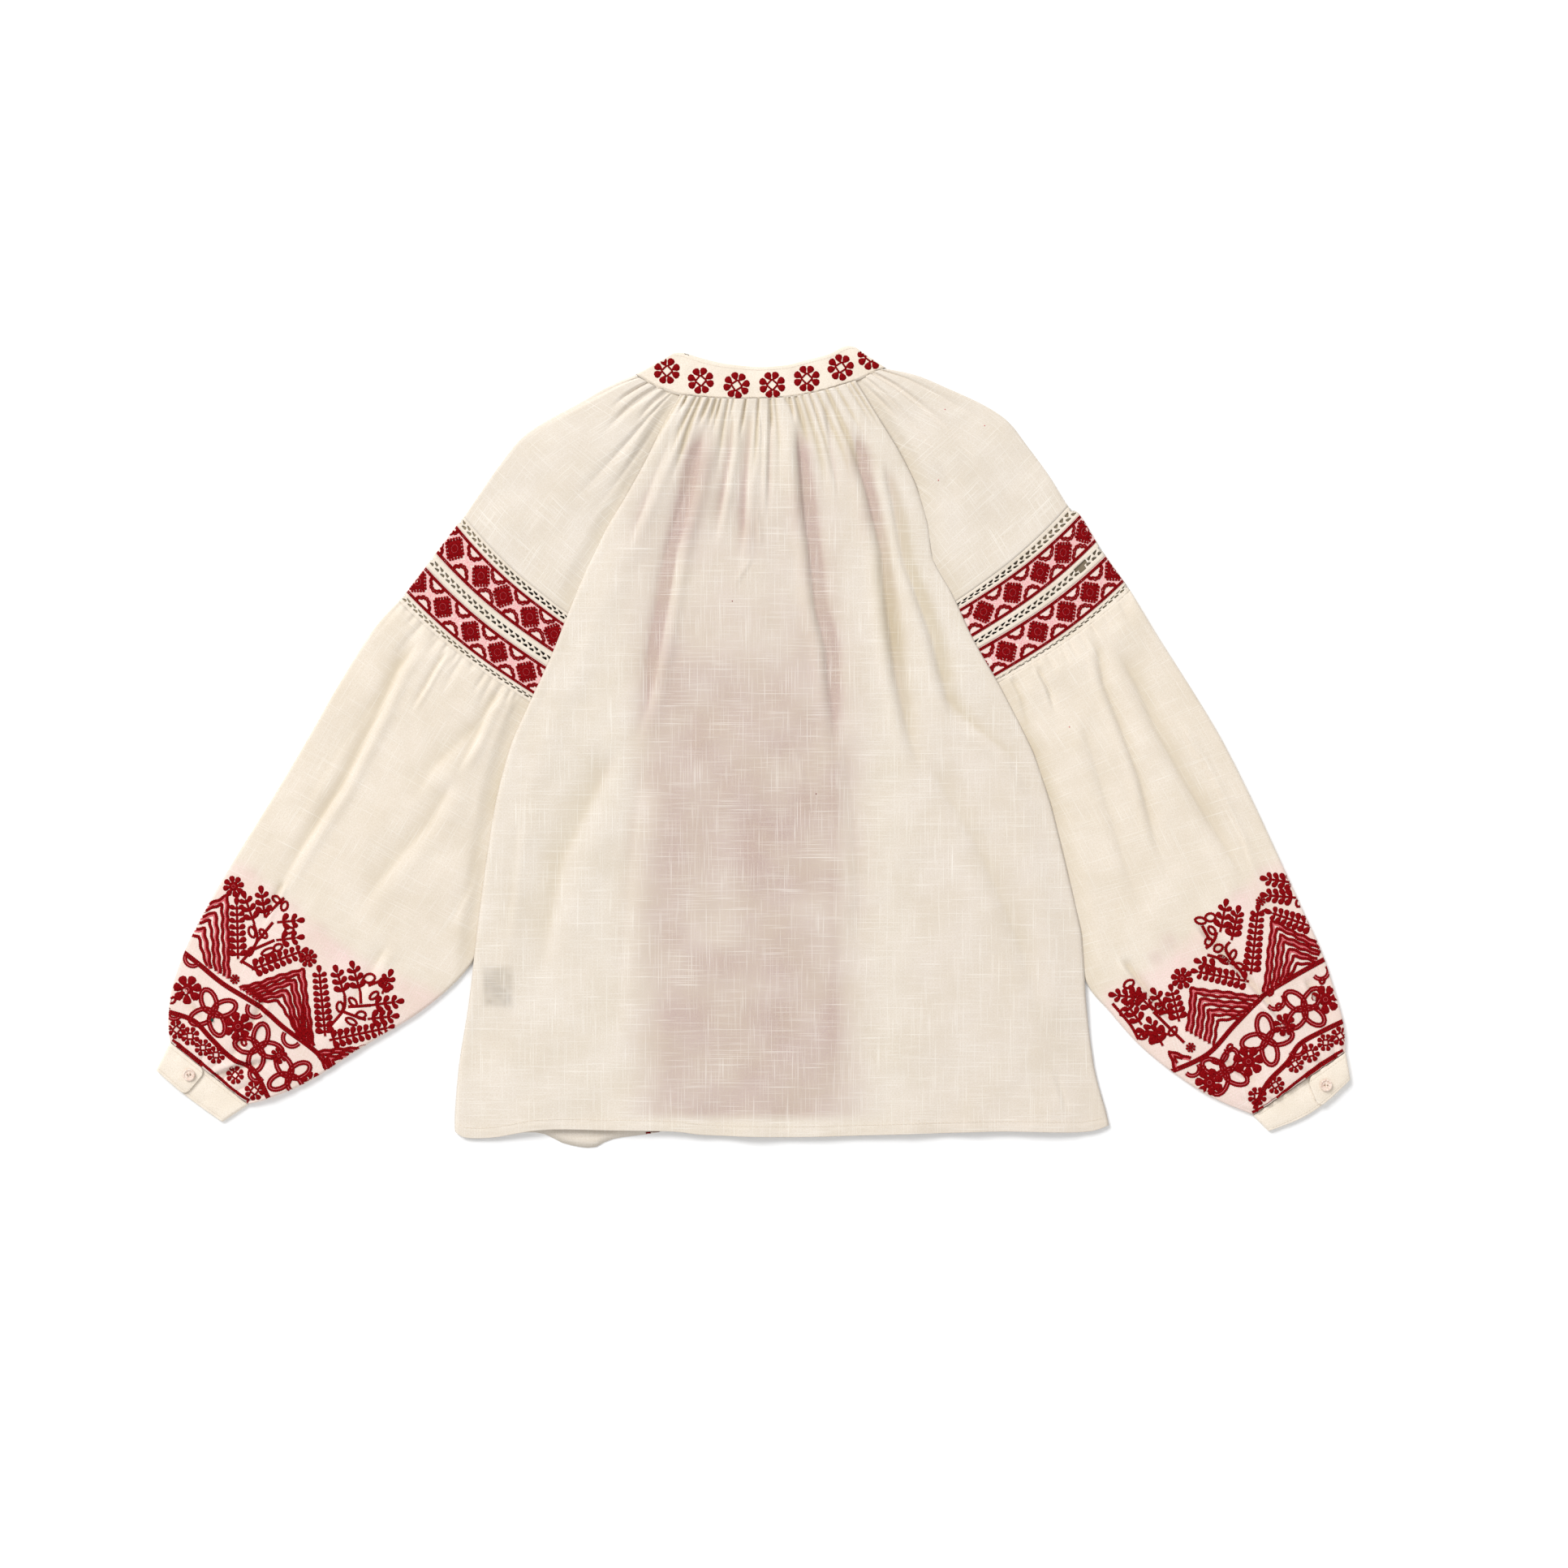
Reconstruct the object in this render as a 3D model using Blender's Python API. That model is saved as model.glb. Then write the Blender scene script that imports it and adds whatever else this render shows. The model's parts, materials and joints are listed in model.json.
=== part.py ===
# Peasant blouse lying flat with its back up: raglan sleeves with embroidered bands and openwork strips,
# gathered neckband and button cuffs. X runs along the span, Y towards the neck, Z up from the surface.
import math
from bisect import bisect_right
from collections import namedtuple

import bmesh
import bpy

MM = 0.001  # every size below is in millimetres

# Middle of the laid-out blouse in the tables' own frame; it becomes the origin
CENTRE_X = 0.1
CENTRE_Y = 0.6

# Walls and levels
WALL = 1.4          # gathered gauze, as a wall
LAYER_GAP = 0.4     # between the two layers of a flattened sleeve
SEAM_GAP = 0.3      # between two pieces at a seam
BAND_WALL = 2.0     # neckband, cloth folded over
CUFF_WALL = 1.6
FOLD_BEND = 2.0     # reach of the bend at a folded edge
SLEEVE_FLAT = 2 * WALL + LAYER_GAP
NECK_LIFT = 0.8     # upper layers rise over the front half of the neckband
BAND_BACK_LEVEL = 3.2
BAND_FOLD_IN = 0.22     # share of the first section that the neckband's bend takes up
BACK_BAND_STEPS = 26
FRONT_BAND_STEPS = 17
REST_LEVEL = WALL + SEAM_GAP

# Neck opening slit at the centre front
SLIT_X = 6.0
SLIT_WIDTH = 3.0
SLIT_LENGTH = 120.0

# Gathers: how many along a seam, and how high
BACK_GATHERS = 26
HEAD_GATHERS = {"left": 8, "right": 6}
LOWER_GATHERS = 22
CUFF_GATHERS = 11
GATHER_HEIGHT = 2.2

# Cuff buttons
BUTTON_RADIUS = 5.0
BUTTON_THICK = 2.2
BUTTON_RIM = 1.1
BUTTON_DISH = 0.7
BUTTON_HOLE = 0.7
BUTTON_HOLE_REACH = 1.3

# Torn mesh in the middle openwork strip of the right sleeve
TEAR_FROM = 2       # first and last column of the strip's upper layer that it takes out
TEAR_TO = 3

# Neck seam and top edge of the neckband's back half, left fold to right fold
BackBand = namedtuple("BackBand", "seam_x seam_y top_x top_y")
BACK_BAND = [
    BackBand(-96.7, 307.0, -66.0, 323.7),
    BackBand(-84.7, 298.3, -56.7, 323.8),
    BackBand(-70.7, 292.3, -42.7, 319.7),
    BackBand(-56.7, 288.7, -28.7, 316.1),
    BackBand(-28.7, 286.3, -14.7, 314.0),
    BackBand(-0.7, 286.0, 6.0, 312.4),
    BackBand(27.6, 287.3, 27.6, 314.0),
    BackBand(55.7, 292.3, 41.7, 317.5),
    BackBand(83.7, 300.7, 62.0, 323.0),
    BackBand(97.7, 307.0, 75.3, 329.4),
    BackBand(109.3, 312.3, 85.3, 328.3),
]

# The same for its front half, which hangs lower
FrontBand = namedtuple("FrontBand", "seam_x seam_y top_x top_y")
FRONT_BAND = [
    FrontBand(-96.7, 307.0, -66.0, 323.7),
    FrontBand(-85.3, 289.0, -56.7, 301.0),
    FrontBand(-68.0, 273.0, -37.3, 283.7),
    FrontBand(-32.0, 249.0, -15.3, 273.0),
    FrontBand(6.0, 243.7, 6.0, 270.3),
    FrontBand(48.0, 250.3, 31.3, 275.7),
    FrontBand(82.7, 277.7, 58.0, 297.7),
    FrontBand(100.0, 295.7, 74.7, 313.0),
    FrontBand(109.3, 312.3, 85.3, 328.3),
]

# Sleeve sections, neck to cuff: the outer fold, where the upper layer ends inside the body's edge,
# where the lower layer ends, and how far the cloth stands up between them
Section = namedtuple("Section", "outer_x outer_y back_x back_y front_x front_y puff")
SLEEVES = {
    "left": [
        Section(-96.7, 307.0, -52.0, 284.2, -60.5, 268.0, 0.4),
        Section(-118.0, 297.0, -62.9, 265.9, -64.5, 262.0, 0.8),
        Section(-146.0, 281.0, -77.8, 236.0, -77.8, 236.0, 1.2),
        Section(-173.3, 266.3, -97.2, 201.1, -97.2, 201.1, 1.4),
        Section(-192.0, 252.3, -112.2, 176.1, -112.2, 176.1, 1.4),
        Section(-209.3, 230.3, -125.5, 150.8, -125.5, 150.8, 1.2),
        Section(-225.3, 207.7, -136.1, 124.1, -136.1, 124.1, 1.0),
        Section(-237.3, 189.7, -144.1, 104.2, -144.1, 104.2, 0.9),
        Section(-243.3, 183.0, -147.0, 96.6, -147.0, 96.6, 0.8),
        Section(-260.7, 159.7, -157.4, 73.5, -157.4, 73.5, 0.8),
        Section(-268.7, 149.0, -162.3, 62.0, -162.3, 62.0, 0.8),
        Section(-284.9, 127.7, -173.2, 39.4, -173.2, 39.4, 0.9),
        Section(-290.6, 120.8, -176.0, 33.0, -176.0, 33.0, 1.0),
        Section(-312.7, 95.7, -188.0, 5.0, -188.0, 5.0, 1.6),
        Section(-340.7, 51.0, -197.3, -42.3, -197.3, -42.3, 2.0),
        Section(-369.3, 1.0, -204.0, -92.3, -204.0, -92.3, 2.0),
        Section(-399.3, -49.0, -216.0, -145.7, -216.0, -145.7, 2.0),
        Section(-425.3, -91.0, -235.3, -182.3, -235.3, -182.3, 2.0),
        Section(-449.3, -132.3, -272.0, -215.7, -272.0, -215.7, 2.0),
        Section(-466.0, -165.7, -326.0, -249.0, -326.0, -249.0, 2.0),
        Section(-477.3, -199.0, -365.3, -274.3, -365.3, -274.3, 1.8),
        Section(-480.0, -227.0, -398.7, -288.3, -398.7, -288.3, 1.2),
        Section(-478.3, -241.0, -414.0, -292.3, -414.0, -292.3, 0.8),
    ],
    "right": [
        Section(109.3, 312.3, 75.8, 297.3, 85.9, 281.0, 0.4),
        Section(134.7, 305.7, 89.9, 274.6, 91.5, 272.0, 0.8),
        Section(160.0, 295.0, 106.6, 247.7, 106.6, 247.7, 1.2),
        Section(190.0, 281.0, 122.7, 218.2, 122.7, 218.2, 1.4),
        Section(209.3, 267.7, 134.4, 191.3, 134.4, 191.3, 1.4),
        Section(224.0, 249.0, 139.6, 164.6, 139.6, 164.6, 1.2),
        Section(242.7, 223.7, 148.0, 137.6, 148.0, 137.6, 1.0),
        Section(258.7, 198.3, 159.1, 115.2, 159.1, 115.2, 0.9),
        Section(268.0, 191.7, 162.9, 110.2, 162.9, 110.2, 0.8),
        Section(282.0, 169.0, 173.5, 86.9, 173.5, 86.9, 0.8),
        Section(289.3, 157.7, 177.4, 77.5, 177.4, 77.5, 0.8),
        Section(304.7, 136.3, 191.4, 54.4, 191.4, 54.4, 0.9),
        Section(309.4, 129.2, 194.3, 49.6, 194.3, 49.6, 1.0),
        Section(331.3, 93.0, 209.5, 19.5, 209.5, 19.5, 1.6),
        Section(358.0, 51.0, 224.0, -12.3, 224.0, -12.3, 2.0),
        Section(383.3, 9.0, 232.7, -52.3, 232.7, -52.3, 2.0),
        Section(408.7, -41.0, 244.0, -92.3, 244.0, -92.3, 2.0),
        Section(432.0, -91.0, 258.0, -139.0, 258.0, -139.0, 2.0),
        Section(450.7, -132.3, 272.7, -190.7, 272.7, -190.7, 2.0),
        Section(466.0, -165.7, 292.0, -215.7, 292.0, -215.7, 2.0),
        Section(477.3, -199.0, 322.7, -249.0, 322.7, -249.0, 1.8),
        Section(484.7, -227.0, 368.0, -282.3, 368.0, -282.3, 1.2),
        Section(486.0, -249.0, 410.0, -301.0, 410.0, -301.0, 0.8),
    ],
}

# Pieces of a sleeve, as stretches of the table above
Piece = namedtuple("Piece", "name first last kind")
SLEEVE_PIECES = [
    Piece("sleeve_head", 0, 7, "head"),
    Piece("lace_1", 7, 8, "lace"),
    Piece("band_1", 8, 9, "band"),
    Piece("lace_2", 9, 10, "lace"),
    Piece("band_2", 10, 11, "band"),
    Piece("lace_3", 11, 12, "lace"),
    Piece("lower_sleeve", 12, 22, "lower"),
]
TORN_LACE = ("right", "lace_2")

# Body sections, neck to hem: the visible edges of the back panel
Body = namedtuple("Body", "left_x left_y right_x right_y")
BODY = [
    Body(-60.0, 288.3, 84.0, 301.0),
    Body(-74.0, 264.3, 101.3, 273.0),
    Body(-88.0, 235.7, 118.7, 245.0),
    Body(-104.0, 207.0, 133.3, 216.3),
    Body(-120.7, 179.7, 143.3, 184.3),
    Body(-136.7, 147.7, 148.0, 154.3),
    Body(-150.7, 113.0, 163.3, 126.3),
    Body(-166.7, 73.0, 181.3, 87.7),
    Body(-184.7, 34.3, 202.7, 50.3),
    Body(-198.7, 2.3, 229.3, -2.3),
    Body(-210.7, -42.3, 244.0, -45.7),
    Body(-219.3, -95.7, 256.0, -93.7),
    Body(-226.7, -152.3, 269.3, -152.3),
    Body(-233.3, -209.0, 273.3, -209.0),
    Body(-241.3, -259.0, 280.0, -262.3),
    Body(-244.8, -300.0, 289.5, -298.0),
    Body(-244.7, -315.0, 292.0, -309.7),
]

# Hem of the back panel, left to right, and of the front panel, which swings out below it on the left
Hem = namedtuple("Hem", "x y")
BACK_HEM = [
    Hem(-244.7, -315.0), Hem(-235.3, -320.0), Hem(-212.0, -319.6), Hem(-172.7, -313.4),
    Hem(-116.0, -313.8), Hem(-66.0, -314.7), Hem(-37.3, -317.7), Hem(27.3, -319.3),
    Hem(98.7, -317.7), Hem(152.0, -316.1), Hem(205.3, -314.7), Hem(270.0, -315.2), Hem(292.0, -309.7),
]
FRONT_HEM = [
    Hem(-243.5, -313.5), Hem(-232.0, -317.5), Hem(-212.0, -317.5), Hem(-176.0, -316.0),
    Hem(-155.3, -324.7), Hem(-132.0, -328.3), Hem(-116.0, -321.3), Hem(-85.3, -317.0),
    Hem(-60.0, -313.5), Hem(0.0, -315.5), Hem(98.7, -315.0), Hem(205.3, -312.5),
    Hem(270.0, -312.5), Hem(290.5, -308.0),
]

# Long folds of the back panel, each a soft valley between two swells
Valley = namedtuple("Valley", "top_x top_y end_x end_y depth reach")
VALLEYS = [
    Valley(34.0, 284.0, 72.0, -60.0, 1.9, 15.0),
    Valley(84.0, 280.0, 146.0, -40.0, 2.0, 16.0),
    Valley(104.0, 240.0, 190.0, -60.0, 1.8, 15.0),
    Valley(-20.0, 286.0, -26.0, 120.0, 1.7, 12.0),
    Valley(-66.0, 262.0, -92.0, 20.0, 1.8, 15.0),
    Valley(6.0, 286.0, 4.0, 60.0, 1.3, 11.0),
    Valley(40.0, 40.0, 44.0, -140.0, 0.9, 12.0),
]

# Cuffs: seam and lower edge, from the sleeve's outer side to its inner side, the tab's length, the button
Cuff = namedtuple("Cuff", "seam_outer seam_inner hem_outer hem_inner bulge tab button")
CUFFS = {
    "left": Cuff((-478.3, -241.4), (-414.2, -292.9), (-489.8, -264.3), (-435.6, -307.0), 1.5, 0.46,
                 (-462.3, -268.1)),
    "right": Cuff((486.2, -249.6), (410.2, -301.6), (490.0, -272.0), (423.0, -314.5), 6.0, 0.42,
                  (469.6, -276.6)),
}

COLOURS = {
    "cotton_gauze": (0.86, 0.80, 0.69, 1.0),
    "embroidered_band": (0.42, 0.06, 0.07, 1.0),
    "openwork": (0.82, 0.75, 0.62, 1.0),
    "cuff_cotton": (0.88, 0.82, 0.72, 1.0),
    "button_resin": (0.85, 0.80, 0.74, 1.0),
}


def to_metres(x, y, z):
    return (x - CENTRE_X) * MM, (y - CENTRE_Y) * MM, z * MM


def clear_scene():
    for old in list(bpy.data.objects):
        bpy.data.objects.remove(old, do_unlink=True)


def cloth_material(name, roughness=0.9):
    material = bpy.data.materials.get(name)
    if material is None:
        material = bpy.data.materials.new(name)
        material.use_nodes = True
        shader = material.node_tree.nodes["Principled BSDF"]
        shader.inputs["Base Color"].default_value = COLOURS[name]
        shader.inputs["Roughness"].default_value = roughness
        shader.inputs["Metallic"].default_value = 0.0
    return material


def smooth_step(low, high, value):
    share = min(1.0, max(0.0, (value - low) / (high - low)))
    return share * share * (3.0 - 2.0 * share)


def mix(first, second, share):
    return first + (second - first) * share


def spline(rows, place):
    """Smooth curve through a table's rows, read at a row number that need not be whole."""
    base = min(len(rows) - 2, max(0, int(place)))
    share = place - base
    before = rows[max(0, base - 1)]
    first = rows[base]
    second = rows[base + 1]
    after = rows[min(len(rows) - 1, base + 2)]
    values = []
    for a, b, c, d in zip(before, first, second, after):
        bend = (c - a) * share + (2 * a - 5 * b + 4 * c - d) * share ** 2 + (3 * b - a - 3 * c + d) * share ** 3
        values.append(b + 0.5 * bend)
    return values


def height_at(rows, x):
    """Y of a polyline of (x, y) rows that runs from left to right."""
    place = min(len(rows) - 1, max(1, bisect_right([row[0] for row in rows], x)))
    left, right = rows[place - 1], rows[place]
    return mix(left[1], right[1], (x - left[0]) / (right[0] - left[0]))


def body_edge(side, y):
    """X of the back panel's edge at a height y."""
    if side == "left":
        rows = [(-row.left_y, row.left_x) for row in BODY]
    else:
        rows = [(-row.right_y, row.right_x) for row in BODY]
    return height_at(rows, -y)


def inside_edge(side, x, y):
    """How far a point lies inside the back panel's edge, level with it; negative outside."""
    edge = body_edge(side, y)
    return x - edge if side == "left" else edge - x


def band_sections(layer):
    """Sections of the neckband's upper, back half or its lower, front half, left fold to right fold."""
    table, steps = (BACK_BAND, BACK_BAND_STEPS) if layer == "upper" else (FRONT_BAND, FRONT_BAND_STEPS)
    places = [mix(BAND_FOLD_IN, len(table) - 1 - BAND_FOLD_IN, step / steps) for step in range(steps + 1)]
    return [spline(table, place) for place in places]


def neck_seam(layer):
    """The neck seam of one layer as a line of (x, y), fold to fold."""
    table = BACK_BAND if layer == "upper" else FRONT_BAND
    middle = [(section[0], section[1]) for section in band_sections(layer)]
    return [(table[0].seam_x, table[0].seam_y)] + middle + [(table[-1].seam_x, table[-1].seam_y)]


class Wall:
    """Collects a cloth wall from rows of points on its outside and its inside."""

    def __init__(self):
        self.places = {}
        self.faces = []

    def point(self, place):
        key = tuple(round(value, 5) for value in place)
        return self.places.setdefault(key, len(self.places))

    def face(self, *places):
        corners = []
        for place in places:
            number = self.point(place)
            if number not in corners:
                corners.append(number)
        if len(corners) > 2:
            self.faces.append(corners)

    def stitch(self, above, below):
        """Join two rows, one of which may have twice the other's steps."""
        steps, other = len(above) - 1, len(below) - 1
        if steps == other:
            for k in range(steps):
                self.face(above[k], above[k + 1], below[k + 1], below[k])
            return
        fine, coarse = (above, below) if steps > other else (below, above)
        for k in range(len(coarse) - 1):
            self.face(coarse[k], fine[2 * k], fine[2 * k + 1])
            self.face(coarse[k], fine[2 * k + 1], coarse[k + 1])
            self.face(coarse[k + 1], fine[2 * k + 1], fine[2 * k + 2])

    def sheet(self, outside, inside):
        """A wall from rows of runs: both faces, both end edges and, where the runs are open, the sides."""
        for rows in (outside, inside):
            for above, below in zip(rows, rows[1:]):
                for run_above, run_below in zip(above, below):
                    self.stitch(run_above, run_below)
        for end in (0, -1):
            for outer, inner in zip(outside[end], inside[end]):
                self.stitch(outer, inner)
        if self.point(outside[0][0][0]) == self.point(outside[0][-1][-1]):
            return
        for run, corner in ((0, 0), (-1, -1)):
            self.stitch([row[run][corner] for row in outside], [row[run][corner] for row in inside])

    def build(self, name, material, sharp=50.0):
        mesh = bpy.data.meshes.new(name)
        vertices = [to_metres(*place) for place in self.places]
        mesh.from_pydata(vertices, [], self.faces)
        shape = bmesh.new()
        shape.from_mesh(mesh)
        bmesh.ops.recalc_face_normals(shape, faces=shape.faces[:])
        shape.to_mesh(mesh)
        shape.free()
        mesh.materials.append(material)
        mesh.shade_smooth()
        mesh.set_sharp_from_angle(angle=math.radians(sharp))
        piece = bpy.data.objects.new(name, mesh)
        bpy.context.scene.collection.objects.link(piece)
        return piece


def gather_wave(place, waves, number_shift=0.0):
    """Gathers of uneven height: 0 in a valley, up to 1 on a crest."""
    number = math.floor(place * waves)
    uneven = 0.78 + 0.22 * math.sin(2.4 * number + number_shift)
    return uneven * (0.5 - 0.5 * math.cos(2 * math.pi * place * waves))


def sleeve_lift(place):
    return NECK_LIFT * (1.0 - smooth_step(1.1, 2.2, place))


def sleeve_height(side, place, share, x, y, puff):
    """Rise of a sleeve's upper layer above its flat level."""
    open_cloth = 1.0 - smooth_step(-20.0, -3.0, inside_edge(side, x, y))
    rise = puff * math.sin(math.pi * share)
    if place <= 7.0:
        fade = 1.0 - smooth_step(0.3, 2.6, place)
        rise += GATHER_HEIGHT * fade * gather_wave(share, HEAD_GATHERS[side], 0.7)
        long_folds = smooth_step(0.2, 1.5, place) * (1.0 - smooth_step(4.5, 7.0, place))
        rise += 0.9 * long_folds * gather_wave(share, 3, 1.9)
    elif place >= 12.0:
        top = 1.0 - smooth_step(0.2, 1.7, place - 12.0)
        rise += 1.8 * top * gather_wave(share, LOWER_GATHERS, 0.4)
        long_folds = smooth_step(12.5, 13.6, place) * (1.0 - smooth_step(15.0, 18.5, place))
        rise += 1.3 * long_folds * gather_wave(share, LOWER_GATHERS / 4, 2.2)
        cuff = smooth_step(19.0, 21.2, place)
        rise += GATHER_HEIGHT * cuff * gather_wave(share, CUFF_GATHERS, 1.3)
    return rise * open_cloth


def edge_share(step, steps, width, open_end):
    """Share of the way across at a column: the first and, on a tube, the last column is a bend."""
    bend = FOLD_BEND / width
    if step == 0:
        return 0.0
    if open_end:
        return mix(bend, 1.0, (step - 1) / (steps - 1))
    if step == steps:
        return 1.0
    return mix(bend, 1.0 - bend, (step - 1) / (steps - 2))


def neck_bow(layer, share, x, y):
    """How far the neck seam bows away from a straight section, eased near the fold."""
    gap = 0.7 if layer == "lower" else 0.4
    easing = 1.4 * (1.0 - smooth_step(0.0, 0.25, share))
    return height_at(neck_seam(layer), x) - gap - easing - y


def sleeve_row(side, place, upper_steps, lower_steps, tube):
    """Outside and inside points of one ring, or of one folded strip, across a sleeve."""
    section = Section(*spline(SLEEVES[side], place))
    start = SLEEVES[side][0]
    bow_share = max(0.0, 1.0 - place / 1.5) ** 2
    lift = sleeve_lift(place)
    flat = SLEEVE_FLAT + lift
    runs = {}
    for layer, steps in (("lower", lower_steps), ("upper", upper_steps)):
        end = (section.front_x, section.front_y) if layer == "lower" else (section.back_x, section.back_y)
        width = math.dist((section.outer_x, section.outer_y), end)
        outside, inside = [], []
        for step in range(steps + 1):
            share = edge_share(step, steps, width, not tube)
            x, y = mix(section.outer_x, end[0], share), mix(section.outer_y, end[1], share)
            if bow_share > 0.0:
                first = (start.front_x, start.front_y) if layer == "lower" else (start.back_x, start.back_y)
                first_x = mix(start.outer_x, first[0], share)
                first_y = mix(start.outer_y, first[1], share)
                y += bow_share * neck_bow(layer, share, first_x, first_y)
            bend_start = step == 0
            bend_end = step == steps and tube
            if bend_start or bend_end:
                inward = WALL / width if bend_start else 1.0 - WALL / width
                inner_x, inner_y = mix(section.outer_x, end[0], inward), mix(section.outer_y, end[1], inward)
                outside.append((x, y, flat / 2))
                inside.append((inner_x, inner_y + (y - mix(section.outer_y, end[1], share)), flat / 2))
                continue
            if layer == "lower":
                outside.append((x, y, 0.0))
                inside.append((x, y, WALL))
                continue
            top = flat + sleeve_height(side, place, step / steps, x, y, section.puff)
            outside.append((x, y, top))
            inside.append((x, y, top - WALL))
        runs[layer] = (outside, inside)
    joined = []
    for face in (0, 1):
        upper = runs["upper"][face]
        lower = list(reversed(runs["lower"][face]))
        lower[-1] = upper[0]
        if tube:
            lower[0] = upper[-1]
        joined.append([lower, upper])
    return joined


def seam_places(side, piece):
    """First and last place of a piece, each half a seam gap short of the seam."""
    rows = SLEEVES[side]
    reach = []
    for number in (piece.first, piece.last - 1):
        near, far = rows[number], rows[number + 1]
        outer = math.dist((near.outer_x, near.outer_y), (far.outer_x, far.outer_y))
        inner = math.dist((near.back_x, near.back_y), (far.back_x, far.back_y))
        reach.append(0.6 * SEAM_GAP / min(outer, inner))
    first = piece.first + (reach[0] if piece.first else 0.0)
    return first, piece.last - reach[1]


# Rows along each kind of piece: place in the piece, from 0 to 1, and columns of its upper layer
Row = namedtuple("Row", "share steps")


def piece_rows(side, kind):
    if kind == "head":
        fine = 4 * HEAD_GATHERS[side]
        rows = [Row(0.0, fine), Row(0.05, fine), Row(0.115, fine)]
        return rows + [Row(share, fine // 2) for share in (0.19, 0.28, 0.42, 0.56, 0.70, 0.85, 1.0)]
    if kind == "lower":
        fine = 4 * LOWER_GATHERS
        rows = [Row(0.0, fine), Row(0.025, fine), Row(0.06, fine)]
        rows += [Row(0.10, fine // 2), Row(0.15, fine // 2)]
        rows += [Row(share, fine // 4) for share in (0.22, 0.30, 0.40, 0.50, 0.60, 0.70)]
        return rows + [Row(share, fine // 2) for share in (0.80, 0.87, 0.94, 1.0)]
    if kind == "band":
        return [Row(0.0, 12), Row(0.5, 12), Row(1.0, 12)]
    return [Row(0.0, 12), Row(1.0, 12)]


LOWER_STEPS = {"head": 8, "lace": 6, "band": 6, "lower": 8}


def sleeve_places(side, piece):
    first, last = seam_places(side, piece)
    return [(mix(first, last, row.share), row.steps) for row in piece_rows(side, piece.kind)]


def make_sleeve_piece(side, piece, material):
    tube = piece.kind == "lower"
    rows = [sleeve_row(side, place, steps, LOWER_STEPS[piece.kind], tube)
            for place, steps in sleeve_places(side, piece)]
    outside = [row[0] for row in rows]
    inside = [row[1] for row in rows]
    name = f"{piece.name}_{side}"
    if (side, piece.name) == TORN_LACE:
        return make_torn_lace(name, outside, inside, material)
    wall = Wall()
    wall.sheet(outside, inside)
    return wall.build(name, material)


def make_torn_lace(name, outside, inside, material):
    """The strip with the torn mesh: a cut upper layer, and an uncut lower layer parted at the fold."""
    under = Wall()
    under.sheet([[row[0][:-1]] for row in outside], [[row[0][:-1]] for row in inside])
    under.build(name + "_under", material)
    upper = Wall()
    edges = []
    for face in (outside, inside):
        top, bottom = face[0][1], face[1][1]
        rows = [top] + [[tuple(mix(a, b, share) for a, b in zip(one, two))
                         for one, two in zip(top, bottom)] for share in (0.18, 0.82)] + [bottom]
        edges.append(rows)
    for rows in edges:
        for number, (above, below) in enumerate(zip(rows, rows[1:])):
            for column in range(len(above) - 1):
                if number == 1 and TEAR_FROM <= column < TEAR_TO:
                    continue
                upper.stitch(above[column:column + 2], below[column:column + 2])
    outer, inner = edges
    upper.stitch(outer[0], inner[0])
    upper.stitch(outer[-1], inner[-1])
    for column in (0, -1):
        upper.stitch([row[column] for row in outer], [row[column] for row in inner])
    for row in (1, 2):
        upper.stitch(outer[row][TEAR_FROM:TEAR_TO + 1], inner[row][TEAR_FROM:TEAR_TO + 1])
    for column in (TEAR_FROM, TEAR_TO):
        upper.stitch([outer[1][column], outer[2][column]], [inner[1][column], inner[2][column]])
    upper.build(name, material)


def back_level(x, y):
    """Underside of the back panel where it has no fold: it rises over the sleeves' inner edges."""
    inner = min(inside_edge("left", x, y), inside_edge("right", x, y))
    near_neck = smooth_step(150.0, 225.0, y)
    over_sleeve = smooth_step(-240.0, -205.0, y)
    edge = mix(REST_LEVEL, mix(3.7, 4.5, near_neck), over_sleeve)
    middle = mix(REST_LEVEL + 0.2, 2.7, near_neck)
    return mix(edge, middle, smooth_step(22.0, 46.0, inner))


def back_folds(share, x, y):
    """Rise of the back panel's gathers, swells and long folds above its level."""
    rise = GATHER_HEIGHT * smooth_step(215.0, 283.0, y) * gather_wave(share, BACK_GATHERS, 0.2)
    pairs = smooth_step(110.0, 200.0, y) * (1.0 - smooth_step(235.0, 280.0, y))
    rise += 1.5 * pairs * gather_wave(share, BACK_GATHERS / 2, 1.1)
    inner = min(inside_edge("left", x, y), inside_edge("right", x, y))
    swell = mix(1.2, 2.2, smooth_step(-260.0, 180.0, y)) * smooth_step(8.0, 50.0, inner)
    for valley in VALLEYS:
        along = (valley.top_y - y) / (valley.top_y - valley.end_y)
        off = abs(x - mix(valley.top_x, valley.end_x, along)) / valley.reach
        if off < 1.0 and 0.0 <= along < 1.0:
            strength = min(1.0, along / 0.12) * (1.0 - smooth_step(0.55, 1.0, along))
            swell -= valley.depth * strength * (0.5 + 0.5 * math.cos(math.pi * off))
    return rise + max(0.0, swell)


# Rows down the back panel: place in the body table, and columns
BACK_ROWS = [(0.0, 4), (0.3, 4), (0.7, 4), (1.2, 2), (1.8, 2), (2.6, 2), (3.6, 1), (5.0, 1), (6.5, 1), (8.0, 1),
             (9.4, 1), (10.8, 1), (12.0, 1), (13.0, 1), (14.0, 1), (15.2, 1), (16.0, 1)]


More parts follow.
